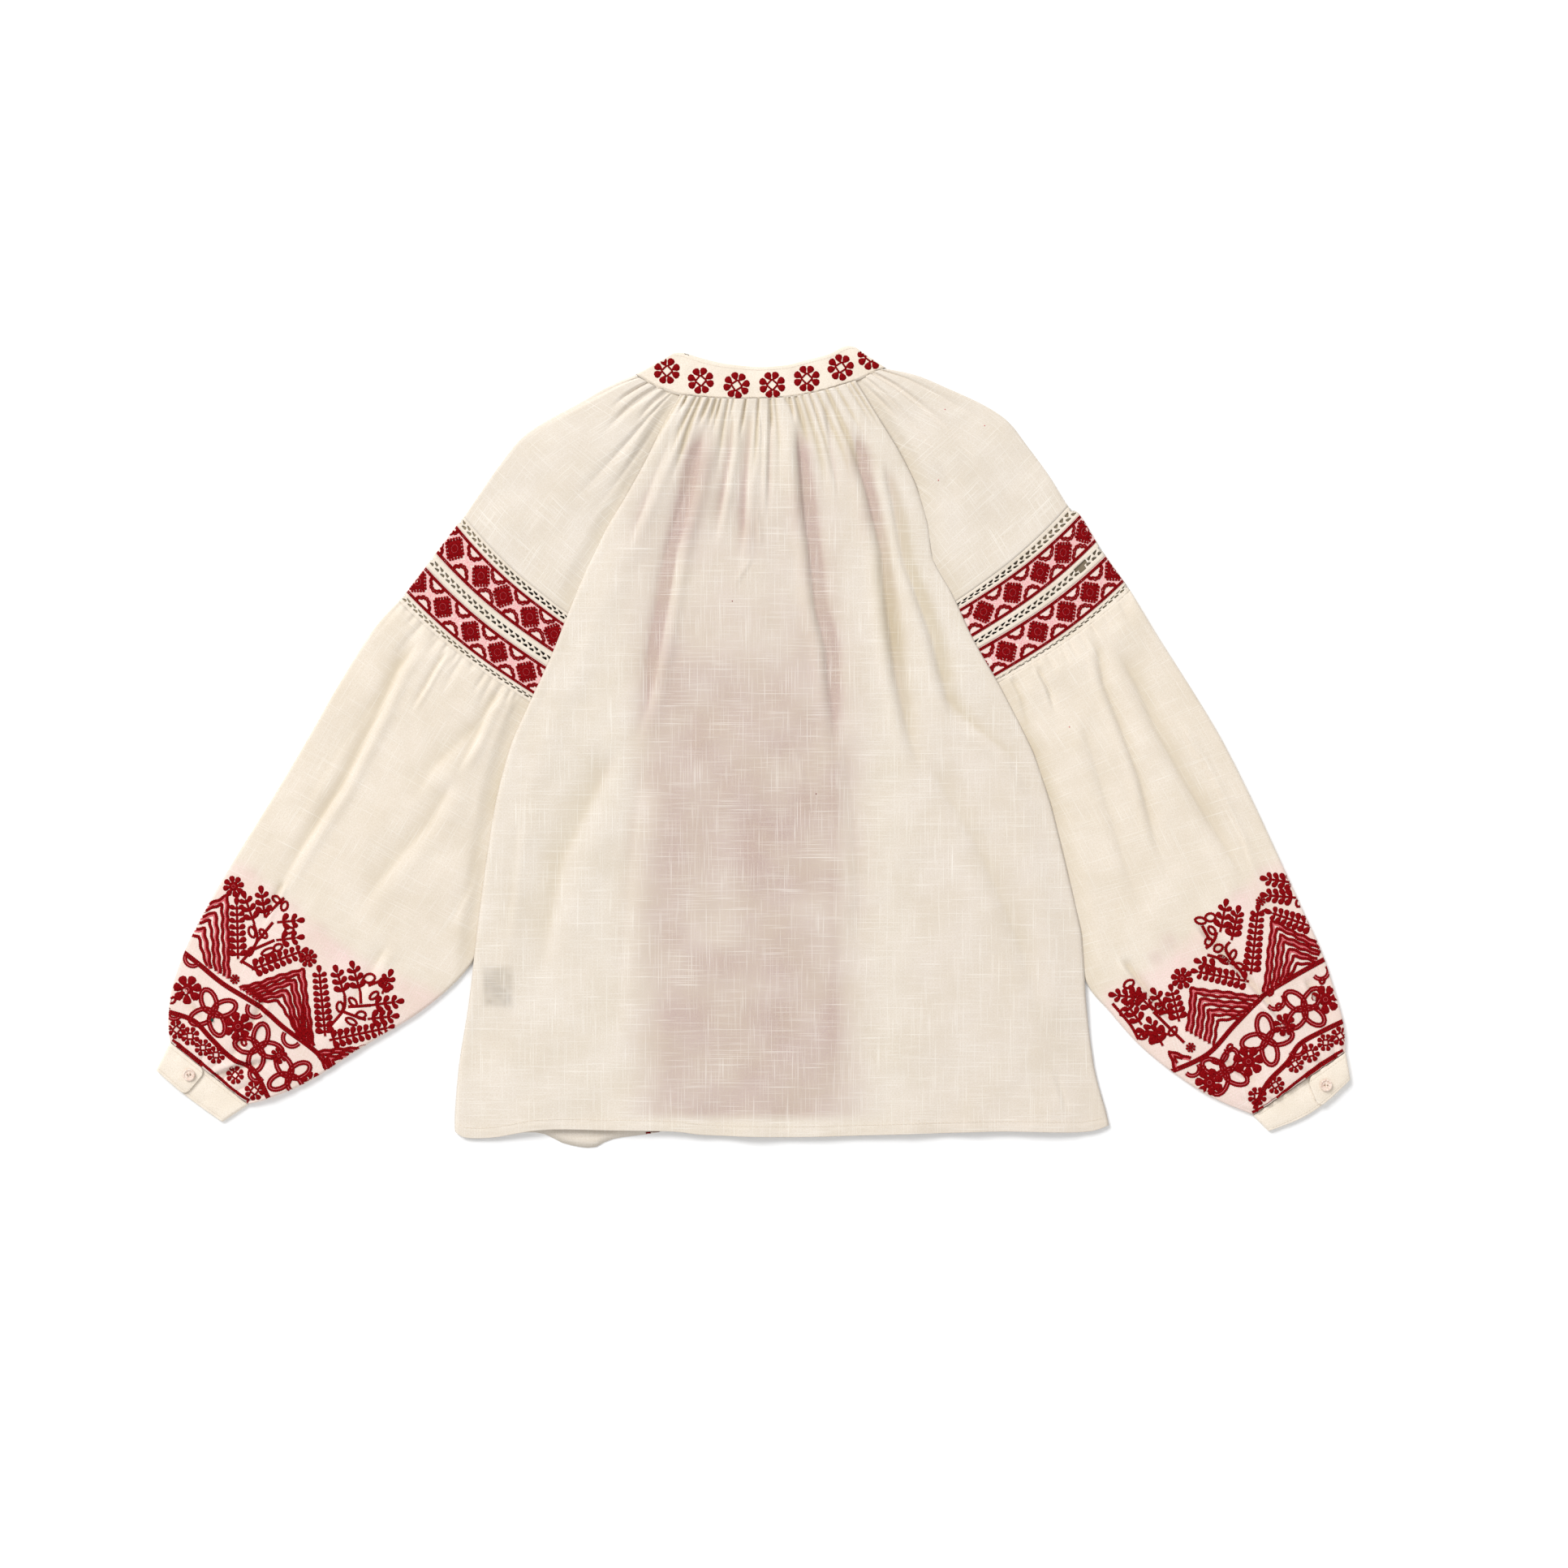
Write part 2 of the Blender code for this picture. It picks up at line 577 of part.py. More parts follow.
def make_back_panel(material):
    seam = neck_seam("upper")
    start, end = BODY[0], BODY[-1]
    outside, inside = [], []
    for place, fineness in BACK_ROWS:
        row = Body(*spline(BODY, place))
        top_bow = max(0.0, 1.0 - place / 2.5) ** 2
        hem_bow = smooth_step(14.6, 16.0, place)
        steps = BACK_GATHERS * fineness
        above, below = [], []
        for step in range(steps + 1):
            share = step / steps
            x, y = mix(row.left_x, row.right_x, share), mix(row.left_y, row.right_y, share)
            first_x, first_y = mix(start.left_x, start.right_x, share), mix(start.left_y, start.right_y, share)
            y += top_bow * (height_at(seam, first_x) - 0.4 - first_y)
            hem_x, hem_y = mix(end.left_x, end.right_x, share), mix(end.left_y, end.right_y, share)
            y += hem_bow * (height_at(BACK_HEM, hem_x) - hem_y)
            under = back_level(x, y) + back_folds(share, x, y)
            above.append((x, y, under + WALL))
            below.append((x, y, under))
        outside.append([above])
        inside.append([below])
    wall = Wall()
    wall.sheet(outside, inside)
    return wall.build("back_panel", material)


def sleeve_inner_line(side):
    """Points where the sleeve's lower layer ends, neck to cuff, at each row of its pieces."""
    points = []
    for piece in SLEEVE_PIECES:
        for place, _ in sleeve_places(side, piece):
            lower = sleeve_row(side, place, 4, 2, False)[0][0]
            points.append((lower[0][0], lower[0][1]))
    return points


def front_edge(side):
    """Edge of the front panel from neck to hem: beside the sleeve, then along the body's own edge."""
    sign = 1.0 if side == "left" else -1.0
    inner = sleeve_inner_line(side)
    corner = FRONT_HEM[0] if side == "left" else FRONT_HEM[-1]
    own = [row[1] if side == "left" else row[3] for row in BODY]
    heights = [y for _, y in inner] + [y for y in own if corner.y + 4.0 < y < inner[0][1]]
    heights += [-150.0 - 4.0 * step for step in range(14)]
    heights = sorted({round(y, 4) for y in heights if y > corner.y + 4.0}, reverse=True)
    line = [(-y, x) for x, y in inner]
    points = []
    for y in heights:
        beside = height_at(line, -y) * sign + SEAM_GAP + 0.2
        edge = body_edge(side, y) * sign + 0.6
        points.append((sign * max(beside, edge), y))
    return points


def make_front_panel(material):
    seam = neck_seam("lower")
    left, right = front_edge("left"), front_edge("right")
    half = SLIT_WIDTH / 2
    slit_end = height_at(seam, SLIT_X) - SLIT_LENGTH
    steps = 14
    neck_left = [mix(left[0][0] + 0.4, SLIT_X - half, k / steps) for k in range(steps + 1)]
    neck_right = [mix(SLIT_X + half, right[0][0] - 0.4, k / steps) for k in range(steps + 1)]
    outline = [(x, height_at(seam, x) - 0.8) for x in neck_left]
    outline += [(SLIT_X + half * math.sin(turn), slit_end - half * math.cos(turn))
                for turn in (-math.pi / 2, -math.pi / 4, 0.0, math.pi / 4, math.pi / 2)]
    outline += [(x, height_at(seam, x) - 0.8) for x in neck_right]
    outline += right
    outline += [(point.x, point.y) for point in reversed(FRONT_HEM)]
    outline += list(reversed(left))
    mesh = bpy.data.meshes.new("front_panel")
    shape = bmesh.new()
    corners = [shape.verts.new(to_metres(x, y, 0.0)) for x, y in outline]
    bottom = shape.faces.new(corners)
    raised = bmesh.ops.extrude_face_region(shape, geom=[bottom])
    top = [item for item in raised["geom"] if isinstance(item, bmesh.types.BMVert)]
    bmesh.ops.translate(shape, verts=top, vec=(0.0, 0.0, WALL * MM))
    bmesh.ops.recalc_face_normals(shape, faces=shape.faces[:])
    shape.to_mesh(mesh)
    shape.free()
    mesh.materials.append(material)
    piece = bpy.data.objects.new("front_panel", mesh)
    bpy.context.scene.collection.objects.link(piece)
    return piece


def make_neckband(material):
    """One strip from the slit round the back and again to the slit, folded at both sides of the neck."""
    front = band_sections("lower")
    left_end = [place for place in front if place[0] < SLIT_X - SLIT_WIDTH]
    right_end = [place for place in front if place[0] > SLIT_X + SLIT_WIDTH]
    for end, side in ((left_end, -1), (right_end, 1)):
        near, far = (left_end[-1], right_end[0]) if side < 0 else (right_end[0], left_end[-1])
        edge = SLIT_X + side * SLIT_WIDTH / 2
        cut = [mix(a, b, (edge - near[0]) / (far[0] - near[0])) for a, b in zip(near, far)]
        end.insert(len(end) if side < 0 else 0, cut)
    stations = [(place, 0.0) for place in reversed(left_end)]
    stations.append((list(BACK_BAND[0]), None))
    stations += [(place, BAND_BACK_LEVEL) for place in band_sections("upper")]
    stations.append((list(BACK_BAND[-1]), None))
    stations += [(place, 0.0) for place in reversed(right_end)]
    outside, inside = [], []
    for station, level in stations:
        seam_x, seam_y, top_x, top_y = station
        if level is None:
            side = -1.0 if seam_x < 0 else 1.0
            middle = (BAND_BACK_LEVEL + BAND_WALL) / 2
            step_x, step_y = -side * 1.3, -1.5
            outside.append([[(seam_x, seam_y, middle), (top_x, top_y, middle)]])
            inside.append([[(seam_x + step_x, seam_y + step_y, middle), (top_x + step_x, top_y + step_y, middle)]])
            continue
        low, high = (level, level + BAND_WALL) if level else (BAND_WALL, 0.0)
        outside.append([[(seam_x, seam_y, high), (top_x, top_y, high)]])
        inside.append([[(seam_x, seam_y, low), (top_x, top_y, low)]])
    wall = Wall()
    wall.sheet(outside, inside)
    return wall.build("neckband", material)


def cuff_point(cuff, across, down):
    """Place on a cuff: across it from its outer end, and down it from the seam to the lower edge."""
    seam_x, seam_y = (mix(a, b, across) for a, b in zip(cuff.seam_outer, cuff.seam_inner))
    hem_x, hem_y = (mix(a, b, across) for a, b in zip(cuff.hem_outer, cuff.hem_inner))
    x, y = mix(seam_x, hem_x, down), mix(seam_y, hem_y, down)
    length = math.dist((seam_x, seam_y), (hem_x, hem_y))
    bulge = cuff.bulge * math.sin(math.pi * across) * down / length
    return x + (hem_x - seam_x) * bulge, y + (hem_y - seam_y) * bulge


def make_cuff(side, material):
    """A strip wound once round: underlap, inner bend, lower layer, outer bend, and the tab on top."""
    cuff = CUFFS[side]
    width = math.dist(cuff.seam_outer, cuff.seam_inner)
    bend = 3.0 / width
    thick = CUFF_WALL / width
    low, middle, tab = 0.0, CUFF_WALL + SEAM_GAP, 2 * (CUFF_WALL + SEAM_GAP)
    shares = [step / 8 for step in range(9)]
    path = []
    for share in shares:
        path.append((mix(6.0 / width, 1.0 - bend, share), middle, middle + CUFF_WALL, 0.0))
    half = (middle + CUFF_WALL) / 2
    path.append((1.0 - thick, half, None, 0.0))
    for share in shares:
        path.append((mix(1.0 - bend, bend, share), low + CUFF_WALL, low, 0.0))
    half = (tab + CUFF_WALL) / 2
    path.append((thick, half, None, 0.0))
    corner = 6.0
    for share in (0.0, 0.25, 0.5, 0.75):
        path.append((mix(bend, cuff.tab - corner / width, share), tab, tab + CUFF_WALL, 0.0))
    for turn in (0, 1, 2, 3):
        angle = math.radians(30.0 * turn)
        across = cuff.tab - corner / width * (1.0 - math.sin(angle))
        path.append((across, tab, tab + CUFF_WALL, corner * (1.0 - math.cos(angle)) * 0.9))
    outside, inside = [], []
    for across, inner_z, outer_z, inset in path:
        length = math.dist(cuff_point(cuff, across, 0.0), cuff_point(cuff, across, 1.0))
        ends = (inset / length, 1.0 - inset / length)
        if outer_z is None:
            outer_across = 1.0 if across > 0.5 else 0.0
            outside.append([[(*cuff_point(cuff, outer_across, down), inner_z) for down in ends]])
        else:
            outside.append([[(*cuff_point(cuff, across, down), outer_z) for down in ends]])
        inside.append([[(*cuff_point(cuff, across, down), inner_z) for down in ends]])
    wall = Wall()
    wall.sheet(outside, inside)
    return wall.build(f"cuff_{side}", material)


def make_button(side, material):
    """A turned disc with a raised rim and two sewing holes."""
    x, y = CUFFS[side].button
    level = 3 * CUFF_WALL + 3 * SEAM_GAP
    profile = [(0.0, 0.0), (BUTTON_RADIUS - 0.6, 0.0), (BUTTON_RADIUS, 0.7), (BUTTON_RADIUS, BUTTON_THICK - 0.5),
               (BUTTON_RADIUS - 0.5, BUTTON_THICK), (BUTTON_RADIUS - BUTTON_RIM, BUTTON_THICK),
               (BUTTON_RADIUS - BUTTON_RIM - 0.6, BUTTON_THICK - BUTTON_DISH), (0.0, BUTTON_THICK - BUTTON_DISH)]
    shape = bmesh.new()
    ring = [shape.verts.new((radius * MM, 0.0, z * MM)) for radius, z in profile]
    edges = [shape.edges.new(pair) for pair in zip(ring, ring[1:])]
    bmesh.ops.spin(shape, geom=ring + edges, axis=(0, 0, 1), cent=(0, 0, 0), steps=24, angle=2 * math.pi,
                   use_duplicate=False)
    bmesh.ops.remove_doubles(shape, verts=shape.verts[:], dist=0.00001)
    bmesh.ops.recalc_face_normals(shape, faces=shape.faces[:])
    mesh = bpy.data.meshes.new(f"button_{side}")
    shape.to_mesh(mesh)
    shape.free()
    mesh.materials.append(material)
    button = bpy.data.objects.new(f"button_{side}", mesh)
    bpy.context.scene.collection.objects.link(button)
    button.location = to_metres(x, y, level)
    for direction in (-1, 1):
        bpy.ops.mesh.primitive_cylinder_add(vertices=10, radius=BUTTON_HOLE * MM, depth=4 * BUTTON_THICK * MM)
        cutter = bpy.context.active_object
        cutter.name = f"button_hole_{side}_{direction}"
        cutter.location = to_metres(x + direction * BUTTON_HOLE_REACH, y, level)
        cutter.hide_render = True
        cutter.display_type = "WIRE"
        hole = button.modifiers.new("hole", "BOOLEAN")
        hole.operation = "DIFFERENCE"
        hole.object = cutter
    mesh.shade_smooth()
    mesh.set_sharp_from_angle(angle=math.radians(35.0))
    return button


def make_blouse():
    clear_scene()
    gauze = cloth_material("cotton_gauze")
    kinds = {
        "head": gauze,
        "lower": gauze,
        "band": cloth_material("embroidered_band"),
        "lace": cloth_material("openwork"),
    }
    cuff_cloth = cloth_material("cuff_cotton")
    resin = cloth_material("button_resin", roughness=0.25)
    make_back_panel(gauze)
    make_front_panel(gauze)
    make_neckband(cuff_cloth)
    for side in SLEEVES:
        for piece in SLEEVE_PIECES:
            make_sleeve_piece(side, piece, kinds[piece.kind])
        make_cuff(side, cuff_cloth)
        make_button(side, resin)


make_blouse()
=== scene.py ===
# A cream gauze blouse lying on its front: its cloth, embroidery, openwork, neckband, cuffs and buttons.
import json
import math

import bpy
import numpy as np
from mathutils.bvhtree import BVHTree
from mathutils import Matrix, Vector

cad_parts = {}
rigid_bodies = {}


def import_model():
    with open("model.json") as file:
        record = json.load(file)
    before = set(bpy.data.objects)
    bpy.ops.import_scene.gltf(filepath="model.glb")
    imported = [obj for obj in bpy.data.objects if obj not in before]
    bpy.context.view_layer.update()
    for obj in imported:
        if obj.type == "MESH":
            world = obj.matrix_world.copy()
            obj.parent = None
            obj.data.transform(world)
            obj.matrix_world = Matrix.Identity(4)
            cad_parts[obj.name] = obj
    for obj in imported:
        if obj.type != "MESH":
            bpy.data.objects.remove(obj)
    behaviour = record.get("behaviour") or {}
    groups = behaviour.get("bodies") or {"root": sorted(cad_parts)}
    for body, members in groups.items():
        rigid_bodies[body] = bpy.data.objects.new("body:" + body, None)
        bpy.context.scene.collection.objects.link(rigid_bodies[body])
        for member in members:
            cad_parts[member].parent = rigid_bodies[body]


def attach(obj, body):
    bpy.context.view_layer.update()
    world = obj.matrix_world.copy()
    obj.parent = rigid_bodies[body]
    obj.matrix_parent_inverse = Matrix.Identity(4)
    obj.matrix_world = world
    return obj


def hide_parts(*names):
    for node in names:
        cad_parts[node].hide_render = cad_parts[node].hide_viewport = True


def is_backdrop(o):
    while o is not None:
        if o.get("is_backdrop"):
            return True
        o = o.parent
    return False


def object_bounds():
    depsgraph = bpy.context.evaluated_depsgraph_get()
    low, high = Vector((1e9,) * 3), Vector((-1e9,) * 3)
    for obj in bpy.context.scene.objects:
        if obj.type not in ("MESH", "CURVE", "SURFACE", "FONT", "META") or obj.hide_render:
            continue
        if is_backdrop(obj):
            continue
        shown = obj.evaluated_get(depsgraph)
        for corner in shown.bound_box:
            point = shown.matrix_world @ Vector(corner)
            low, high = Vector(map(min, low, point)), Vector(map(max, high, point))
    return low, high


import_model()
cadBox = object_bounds()
print("frame loaded")

mm = 0.001
middleX, middleY = 0.1, 0.6  # middle of the laid-out blouse in the tables below, in mm


def toScene(points):
    moved = np.array(points, float)
    moved[..., 0] -= middleX
    moved[..., 1] -= middleY
    return moved * mm


def fromPhoto(*places):
    # photo pixels to the tables' millimetres: 1.5 pixels to the mm
    return [((x - 928.0) / 1.5, (921.5 - y) / 1.5) for x, y in places]


def smooth(low, high, value):
    share = np.clip((value - low) / (high - low), 0.0, 1.0)
    return share * share * (3.0 - 2.0 * share)


def fade(low, high, value):
    return 1.0 - smooth(low, high, value)


def mound(value, middle, width):
    # a soft rise of height 1 round one value
    return np.exp(-((value - middle) / width) ** 2)


def spotAt(x, y, pixel, spread, squeeze=1.0):
    # a soft spot at a place in the photo, longer down the cloth where it is squeezed
    (sx, sy), = fromPhoto(pixel)
    return np.exp(-((x - sx) ** 2 + (squeeze * (y - sy)) ** 2) / spread)


def mix(first, second, share):
    return first + (second - first) * share


def tableAt(rows, place):
    # a smooth curve through the rows of a table
    rows = np.asarray(rows, float)
    place = np.asarray(place, float)
    base = np.clip(place.astype(int), 0, len(rows) - 2)
    t = (place - base)[..., None]
    a, b = rows[np.maximum(base - 1, 0)], rows[base]
    c, d = rows[base + 1], rows[np.minimum(base + 2, len(rows) - 1)]
    return b + 0.5 * ((c - a) * t + (2 * a - 5 * b + 4 * c - d) * t ** 2 + (3 * b - a - 3 * c + d) * t ** 3)


def softNoise(x, y, size, seed):
    # lumps of about that many mm, from -1 to 1
    lattice = np.random.default_rng(seed).uniform(-1.0, 1.0, (97, 97))
    gx, gy = np.asarray(x) / size + 500.0, np.asarray(y) / size + 500.0
    ix, iy = np.floor(gx).astype(int), np.floor(gy).astype(int)
    fx, fy = smooth(0.0, 1.0, gx - ix), smooth(0.0, 1.0, gy - iy)
    corner = lambda dx, dy: lattice[(ix + dx) % 97, (iy + dy) % 97]
    return mix(mix(corner(0, 0), corner(1, 0), fx), mix(corner(0, 1), corner(1, 1), fx), fy)


def nearLine(x, y, line):
    # distance to a line of points, positive on its left, and how far along the line that is
    best, side, along = np.full(x.shape, 1e9), np.zeros(x.shape), np.zeros(x.shape)
    steps = [math.dist(a, b) for a, b in zip(line, line[1:])]
    run = 0.0
    for (ax, ay), (bx, by), step in zip(line, line[1:], steps):
        dx, dy = (bx - ax) / step, (by - ay) / step
        t = np.clip((x - ax) * dx + (y - ay) * dy, 0.0, step)
        ox, oy = x - ax - t * dx, y - ay - t * dy
        distance = np.hypot(ox, oy)
        closer = distance < best
        best = np.where(closer, distance, best)
        side = np.where(closer, np.sign(dx * oy - dy * ox), side)
        along = np.where(closer, run + t, along)
        run += step
    return best * side, along, run


creaseShape = {
    "start": (0.0, 0.12), "end": (0.6, 1.0),      # shares of the line where a crease begins and dies out
    "steepReach": 0.36, "easyReach": 1.15,        # shares of its width
    "bank": 0.38, "bankPlace": -1.05, "bankWidth": 0.62,
}


def creased(x, y, creases, steep=None):
    # soft troughs, or ridges where the depth is negative, each along its own line and steeper on one side
    look = creaseShape
    change = np.zeros(x.shape)
    steep = np.sign(x - 6.0) if steep is None else steep
    for line, depth, width in creases:
        off, along, length = nearLine(x, y, fromPhoto(*line))
        strength = smooth(*look["start"], along / length) * fade(*look["end"], along / length)
        off = off * steep                  # below zero on the steep side
        reach = np.where(off < 0.0, look["steepReach"], look["easyReach"]) * width
        trough = np.exp(-(np.abs(off) / reach) ** 1.6)
        bank = look["bank"] * mound(off, look["bankPlace"] * width, look["bankWidth"] * width)
        change -= depth * strength * (trough - bank)
    return change


def gathers(position, run, style):
    # cloth drawn up on a seam: sharp valleys of uneven depth that widen and die out away from it
    rng = np.random.default_rng(style["seed"])
    height = style["stand"] * fade(0.1, 1.0, run / style["reach"]) * np.ones(position.shape)
    spot = style["start"]
    while spot < style["end"]:
        depth = style["depth"] * rng.uniform(0.45, 1.0)
        reach = style["reach"] * rng.uniform(0.2, 1.0) ** 1.4
        width = style["width"] * rng.uniform(0.7, 1.3) * (1.0 + run / style["widening"])
        off = np.abs(position - spot - rng.uniform(-0.05, 0.05) * run) / width
        height -= depth * np.clip(1.0 - off, 0.0, 1.0) ** 1.5 * fade(0.3, 1.0, run / reach)
        spot += style["spacing"] * rng.uniform(0.45, 1.65)
    return np.maximum(height, 0.0)


def clothSheet(name, points, grain, values=None, closed=False, flip=False, keep=None, thickness=0.7):
    # a grid of rows and columns in mm, its UV map in mm along the grain, and a thickness to the inside
    rows, columns = points.shape[:2]
    corners = np.arange(rows * columns).reshape(rows, columns)
    if closed:
        corners = np.concatenate([corners, corners[:, :1]], axis=1)
    around = [(slice(None, -1), slice(None, -1)), (slice(1, None), slice(None, -1)),
              (slice(1, None), slice(1, None)), (slice(None, -1), slice(1, None))]
    if flip:
        around.reverse()
    quads = np.stack([corners[place] for place in around], axis=-1).reshape(-1, 4)
    cornerGrain = np.stack([grain[place] for place in around], axis=2).reshape(-1, 4, 2)
    if keep is not None:
        quads, cornerGrain = quads[keep.ravel()], cornerGrain[keep.ravel()]
    mesh = bpy.data.meshes.new(name)
    mesh.from_pydata(toScene(points).reshape(-1, 3).tolist(), [], quads.tolist())
    mesh.uv_layers.new(name="grain").data.foreach_set("uv", cornerGrain.ravel())
    for key, value in (values or {}).items():
        attribute = mesh.attributes.new(key, "FLOAT", "POINT")
        attribute.data.foreach_set("value", np.broadcast_to(value, (rows, columns)).astype(np.float32).ravel())
    piece = newPiece(mesh)
    if thickness:
        thicken(piece, thickness)
    return piece


def newPiece(mesh):
    mesh.shade_smooth()
    piece = bpy.data.objects.new(mesh.name, mesh)
    bpy.context.scene.collection.objects.link(piece)
    return piece


def dress(piece, material, slot, *nodes):
    # gives a piece its finish, hangs it on the root body and hides the solids it stands for
    piece.data.materials.append(material)
    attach(piece, "root")
    if nodes:
        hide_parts(*nodes)
    return piece


def activate(piece):
    bpy.ops.object.select_all(action="DESELECT")
    piece.select_set(True)
    bpy.context.view_layer.objects.active = piece


def thicken(piece, thickness):
    wall = piece.modifiers.new("thickness", "SOLIDIFY")
    wall.thickness = thickness * mm
    wall.offset = -1.0
    activate(piece)
    bpy.ops.object.modifier_apply(modifier=wall.name)
    level = np.empty(len(piece.data.vertices) * 3)
    piece.data.vertices.foreach_get("co", level)
    level[2::3] = np.maximum(level[2::3], 0.0)
    piece.data.vertices.foreach_set("co", level)


# The finishes. Each is named for the real material, except the painted shade under the openwork.

def toLinear(colour):
    channels = [int(colour[k:k + 2], 16) / 255.0 for k in (1, 3, 5)]
    return [c / 12.92 if c <= 0.04045 else ((c + 0.055) / 1.055) ** 2.4 for c in channels] + [1.0]


def addNode(tree, kind, inputs=None, **settings):
    node = tree.nodes.new(kind)
    for key, value in settings.items():
        setattr(node, key, value)
    for key, value in (inputs or {}).items():
        if isinstance(value, bpy.types.NodeSocket):
            tree.links.new(value, node.inputs[key])
        else:
            node.inputs[key].default_value = value
    return node


def calculated(tree, operation, *values):
    return addNode(tree, "ShaderNodeMath", dict(enumerate(values)), operation=operation).outputs[0]


def ranged(tree, value, low, high, newLow=0.0, newHigh=1.0):
    return addNode(tree, "ShaderNodeMapRange", {"Value": value, "From Min": low, "From Max": high,
                                                "To Min": newLow, "To Max": newHigh}).outputs[0]


def clouded(tree, place, scale=1.0, detail=1.0):
    return addNode(tree, "ShaderNodeTexNoise", {"Vector": place, "Scale": scale, "Detail": detail}).outputs[0]


def blended(tree, share, first, second):
    # one colour or socket turning into another
    node = addNode(tree, "ShaderNodeMix", {0: share}, data_type="RGBA")
    for number, colour in ((6, first), (7, second)):
        if isinstance(colour, bpy.types.NodeSocket):
            tree.links.new(colour, node.inputs[number])
        else:
            node.inputs[number].default_value = colour
    return node.outputs[2]


def newMaterial(name):
    material = bpy.data.materials.new(name)
    material.use_nodes = True
    return material, material.node_tree, material.node_tree.nodes["Principled BSDF"]


gauzeLook = {
    "body": "#e7ded4", "sleeve": "#ece1d4", "cuff": "#f9eee1", "slub": "#fdf9f1", "shade": "#c4b498",
    # of the tints below, the reddish one is the front's embroidery seen through, stains, and painted shade in fold
    # valleys; the beige one is painted shade
    "seeThrough": "#b59a99", "patch": "#9c9692", "pinkGround": "#f6d9d7", "hollow": "#b9a884",
    "slubWidth": 0.45, "slubLength": 40.0,   # mm; the real threads are 0.3 mm, drawn wider to show
    "thread": 0.75,                           # mm; the real weave is 0.4 mm, drawn coarser to show
    "roughness": 0.92, "sheen": 0.25,
}


def gauze(name, base, slubShare=1.0):
    # loosely woven slubby cotton: matt, with pale thick threads both ways and a fine uneven mesh
    look = gauzeLook
    material, tree, shader = newMaterial(name)
    grain = addNode(tree, "ShaderNodeUVMap", uv_map="grain").outputs["UV"]
    streaks = []
    parts = addNode(tree, "ShaderNodeSeparateXYZ", {"Vector": grain}).outputs
    for across, along in ((parts[0], parts[1]), (parts[1], parts[0])):
        # each thread is a row with thick places of its own
        row = calculated(tree, "SNAP", across, look["slubWidth"])
        own = addNode(tree, "ShaderNodeTexWhiteNoise", {"W": row}, noise_dimensions="1D").outputs["Value"]
        own = calculated(tree, "MULTIPLY", own, 900.0)
        place = calculated(tree, "DIVIDE", along, look["slubLength"])
        place = addNode(tree, "ShaderNodeCombineXYZ", {"X": place, "Y": own}).outputs[0]
        streaks.append(ranged(tree, clouded(tree, place), 0.58, 0.80))
    slubs = calculated(tree, "MAXIMUM", *streaks)
    weave = []
    for across, along in ((0.55, 2.2), (2.2, 0.55)):
        stretched = addNode(tree, "ShaderNodeMapping", {"Vector": grain, "Scale": (
            1.0 / (across * look["thread"]), 1.0 / (along * look["thread"]), 1.0)})
        weave.append(clouded(tree, stretched.outputs[0]))
    mesh = calculated(tree, "ADD", *weave)
    patchy = clouded(tree, grain, 1.0 / 38.0, 3.0)
    colour = toLinear(base)
    # tints: the front's embroidery seen through with painted shade in fold valleys, a grey patch, the pink-stained
    # ground, and painted shade in creases, gathers and beside the body's edge
    for key, strength in (("seeThrough", 1.0), ("patch", 0.75), ("pinkGround", 1.0), ("hollow", 1.0)):
        amount = addNode(tree, "ShaderNodeAttribute", attribute_name=key).outputs["Fac"]
        amount = calculated(tree, "MULTIPLY", amount, ranged(tree, mesh, 0.7, 1.3, 0.75 * strength, strength))
        colour = blended(tree, amount, colour, toLinear(look[key]))
    colour = blended(tree, ranged(tree, mesh, 0.65, 1.35, 0.5, 0.0), colour, toLinear(look["shade"]))
    colour = blended(tree, ranged(tree, patchy, 0.35, 0.65, 0.0, 0.22), colour, toLinear(look["shade"]))
    colour = blended(tree, calculated(tree, "MULTIPLY", slubs, 0.50 * slubShare), colour, toLinear(look["slub"]))
    tree.links.new(colour, shader.inputs["Base Color"])
    relief = calculated(tree, "MULTIPLY_ADD", slubs, 0.8, mesh)
    bump = addNode(tree, "ShaderNodeBump", {"Height": relief, "Strength": 0.35, "Distance": 0.00022})
    tree.links.new(bump.outputs[0], shader.inputs["Normal"])
    shader.inputs["Roughness"].default_value = look["roughness"]
    shader.inputs["Sheen Weight"].default_value = look["sheen"]
    shader.inputs["Sheen Roughness"].default_value = 0.5
    return material


bodyGauze = gauze("woven cotton gauze, body", gauzeLook["body"])
sleeveGauze = gauze("woven cotton gauze, sleeves", gauzeLook["sleeve"], 0.8)
cuffCotton = gauze("woven cotton, cuffs", gauzeLook["cuff"], 0.3)
print("cloth finishes made")


# The laid-out shape, in mm. Neck seam and top edge of the neckband's back half, left fold to right fold
backBand = [(-96.7, 307.0, -66.0, 323.7), (-84.7, 298.3, -56.7, 323.8), (-70.7, 292.3, -42.7, 319.7),
            (-56.7, 288.7, -28.7, 316.1), (-28.7, 286.3, -14.7, 314.0), (-0.7, 286.0, 6.0, 312.4),
            (27.6, 287.3, 27.6, 314.0), (55.7, 292.3, 41.7, 317.5), (83.7, 300.7, 62.0, 323.0),
            (97.7, 307.0, 75.3, 329.4), (109.3, 312.3, 85.3, 328.3)]
frontBand = [(-96.7, 307.0, -66.0, 323.7), (-85.3, 289.0, -56.7, 301.0), (-68.0, 273.0, -37.3, 283.7),
             (-32.0, 249.0, -15.3, 273.0), (6.0, 243.7, 6.0, 270.3), (48.0, 250.3, 31.3, 275.7),
             (82.7, 277.7, 58.0, 297.7), (100.0, 295.7, 74.7, 313.0), (109.3, 312.3, 85.3, 328.3)]

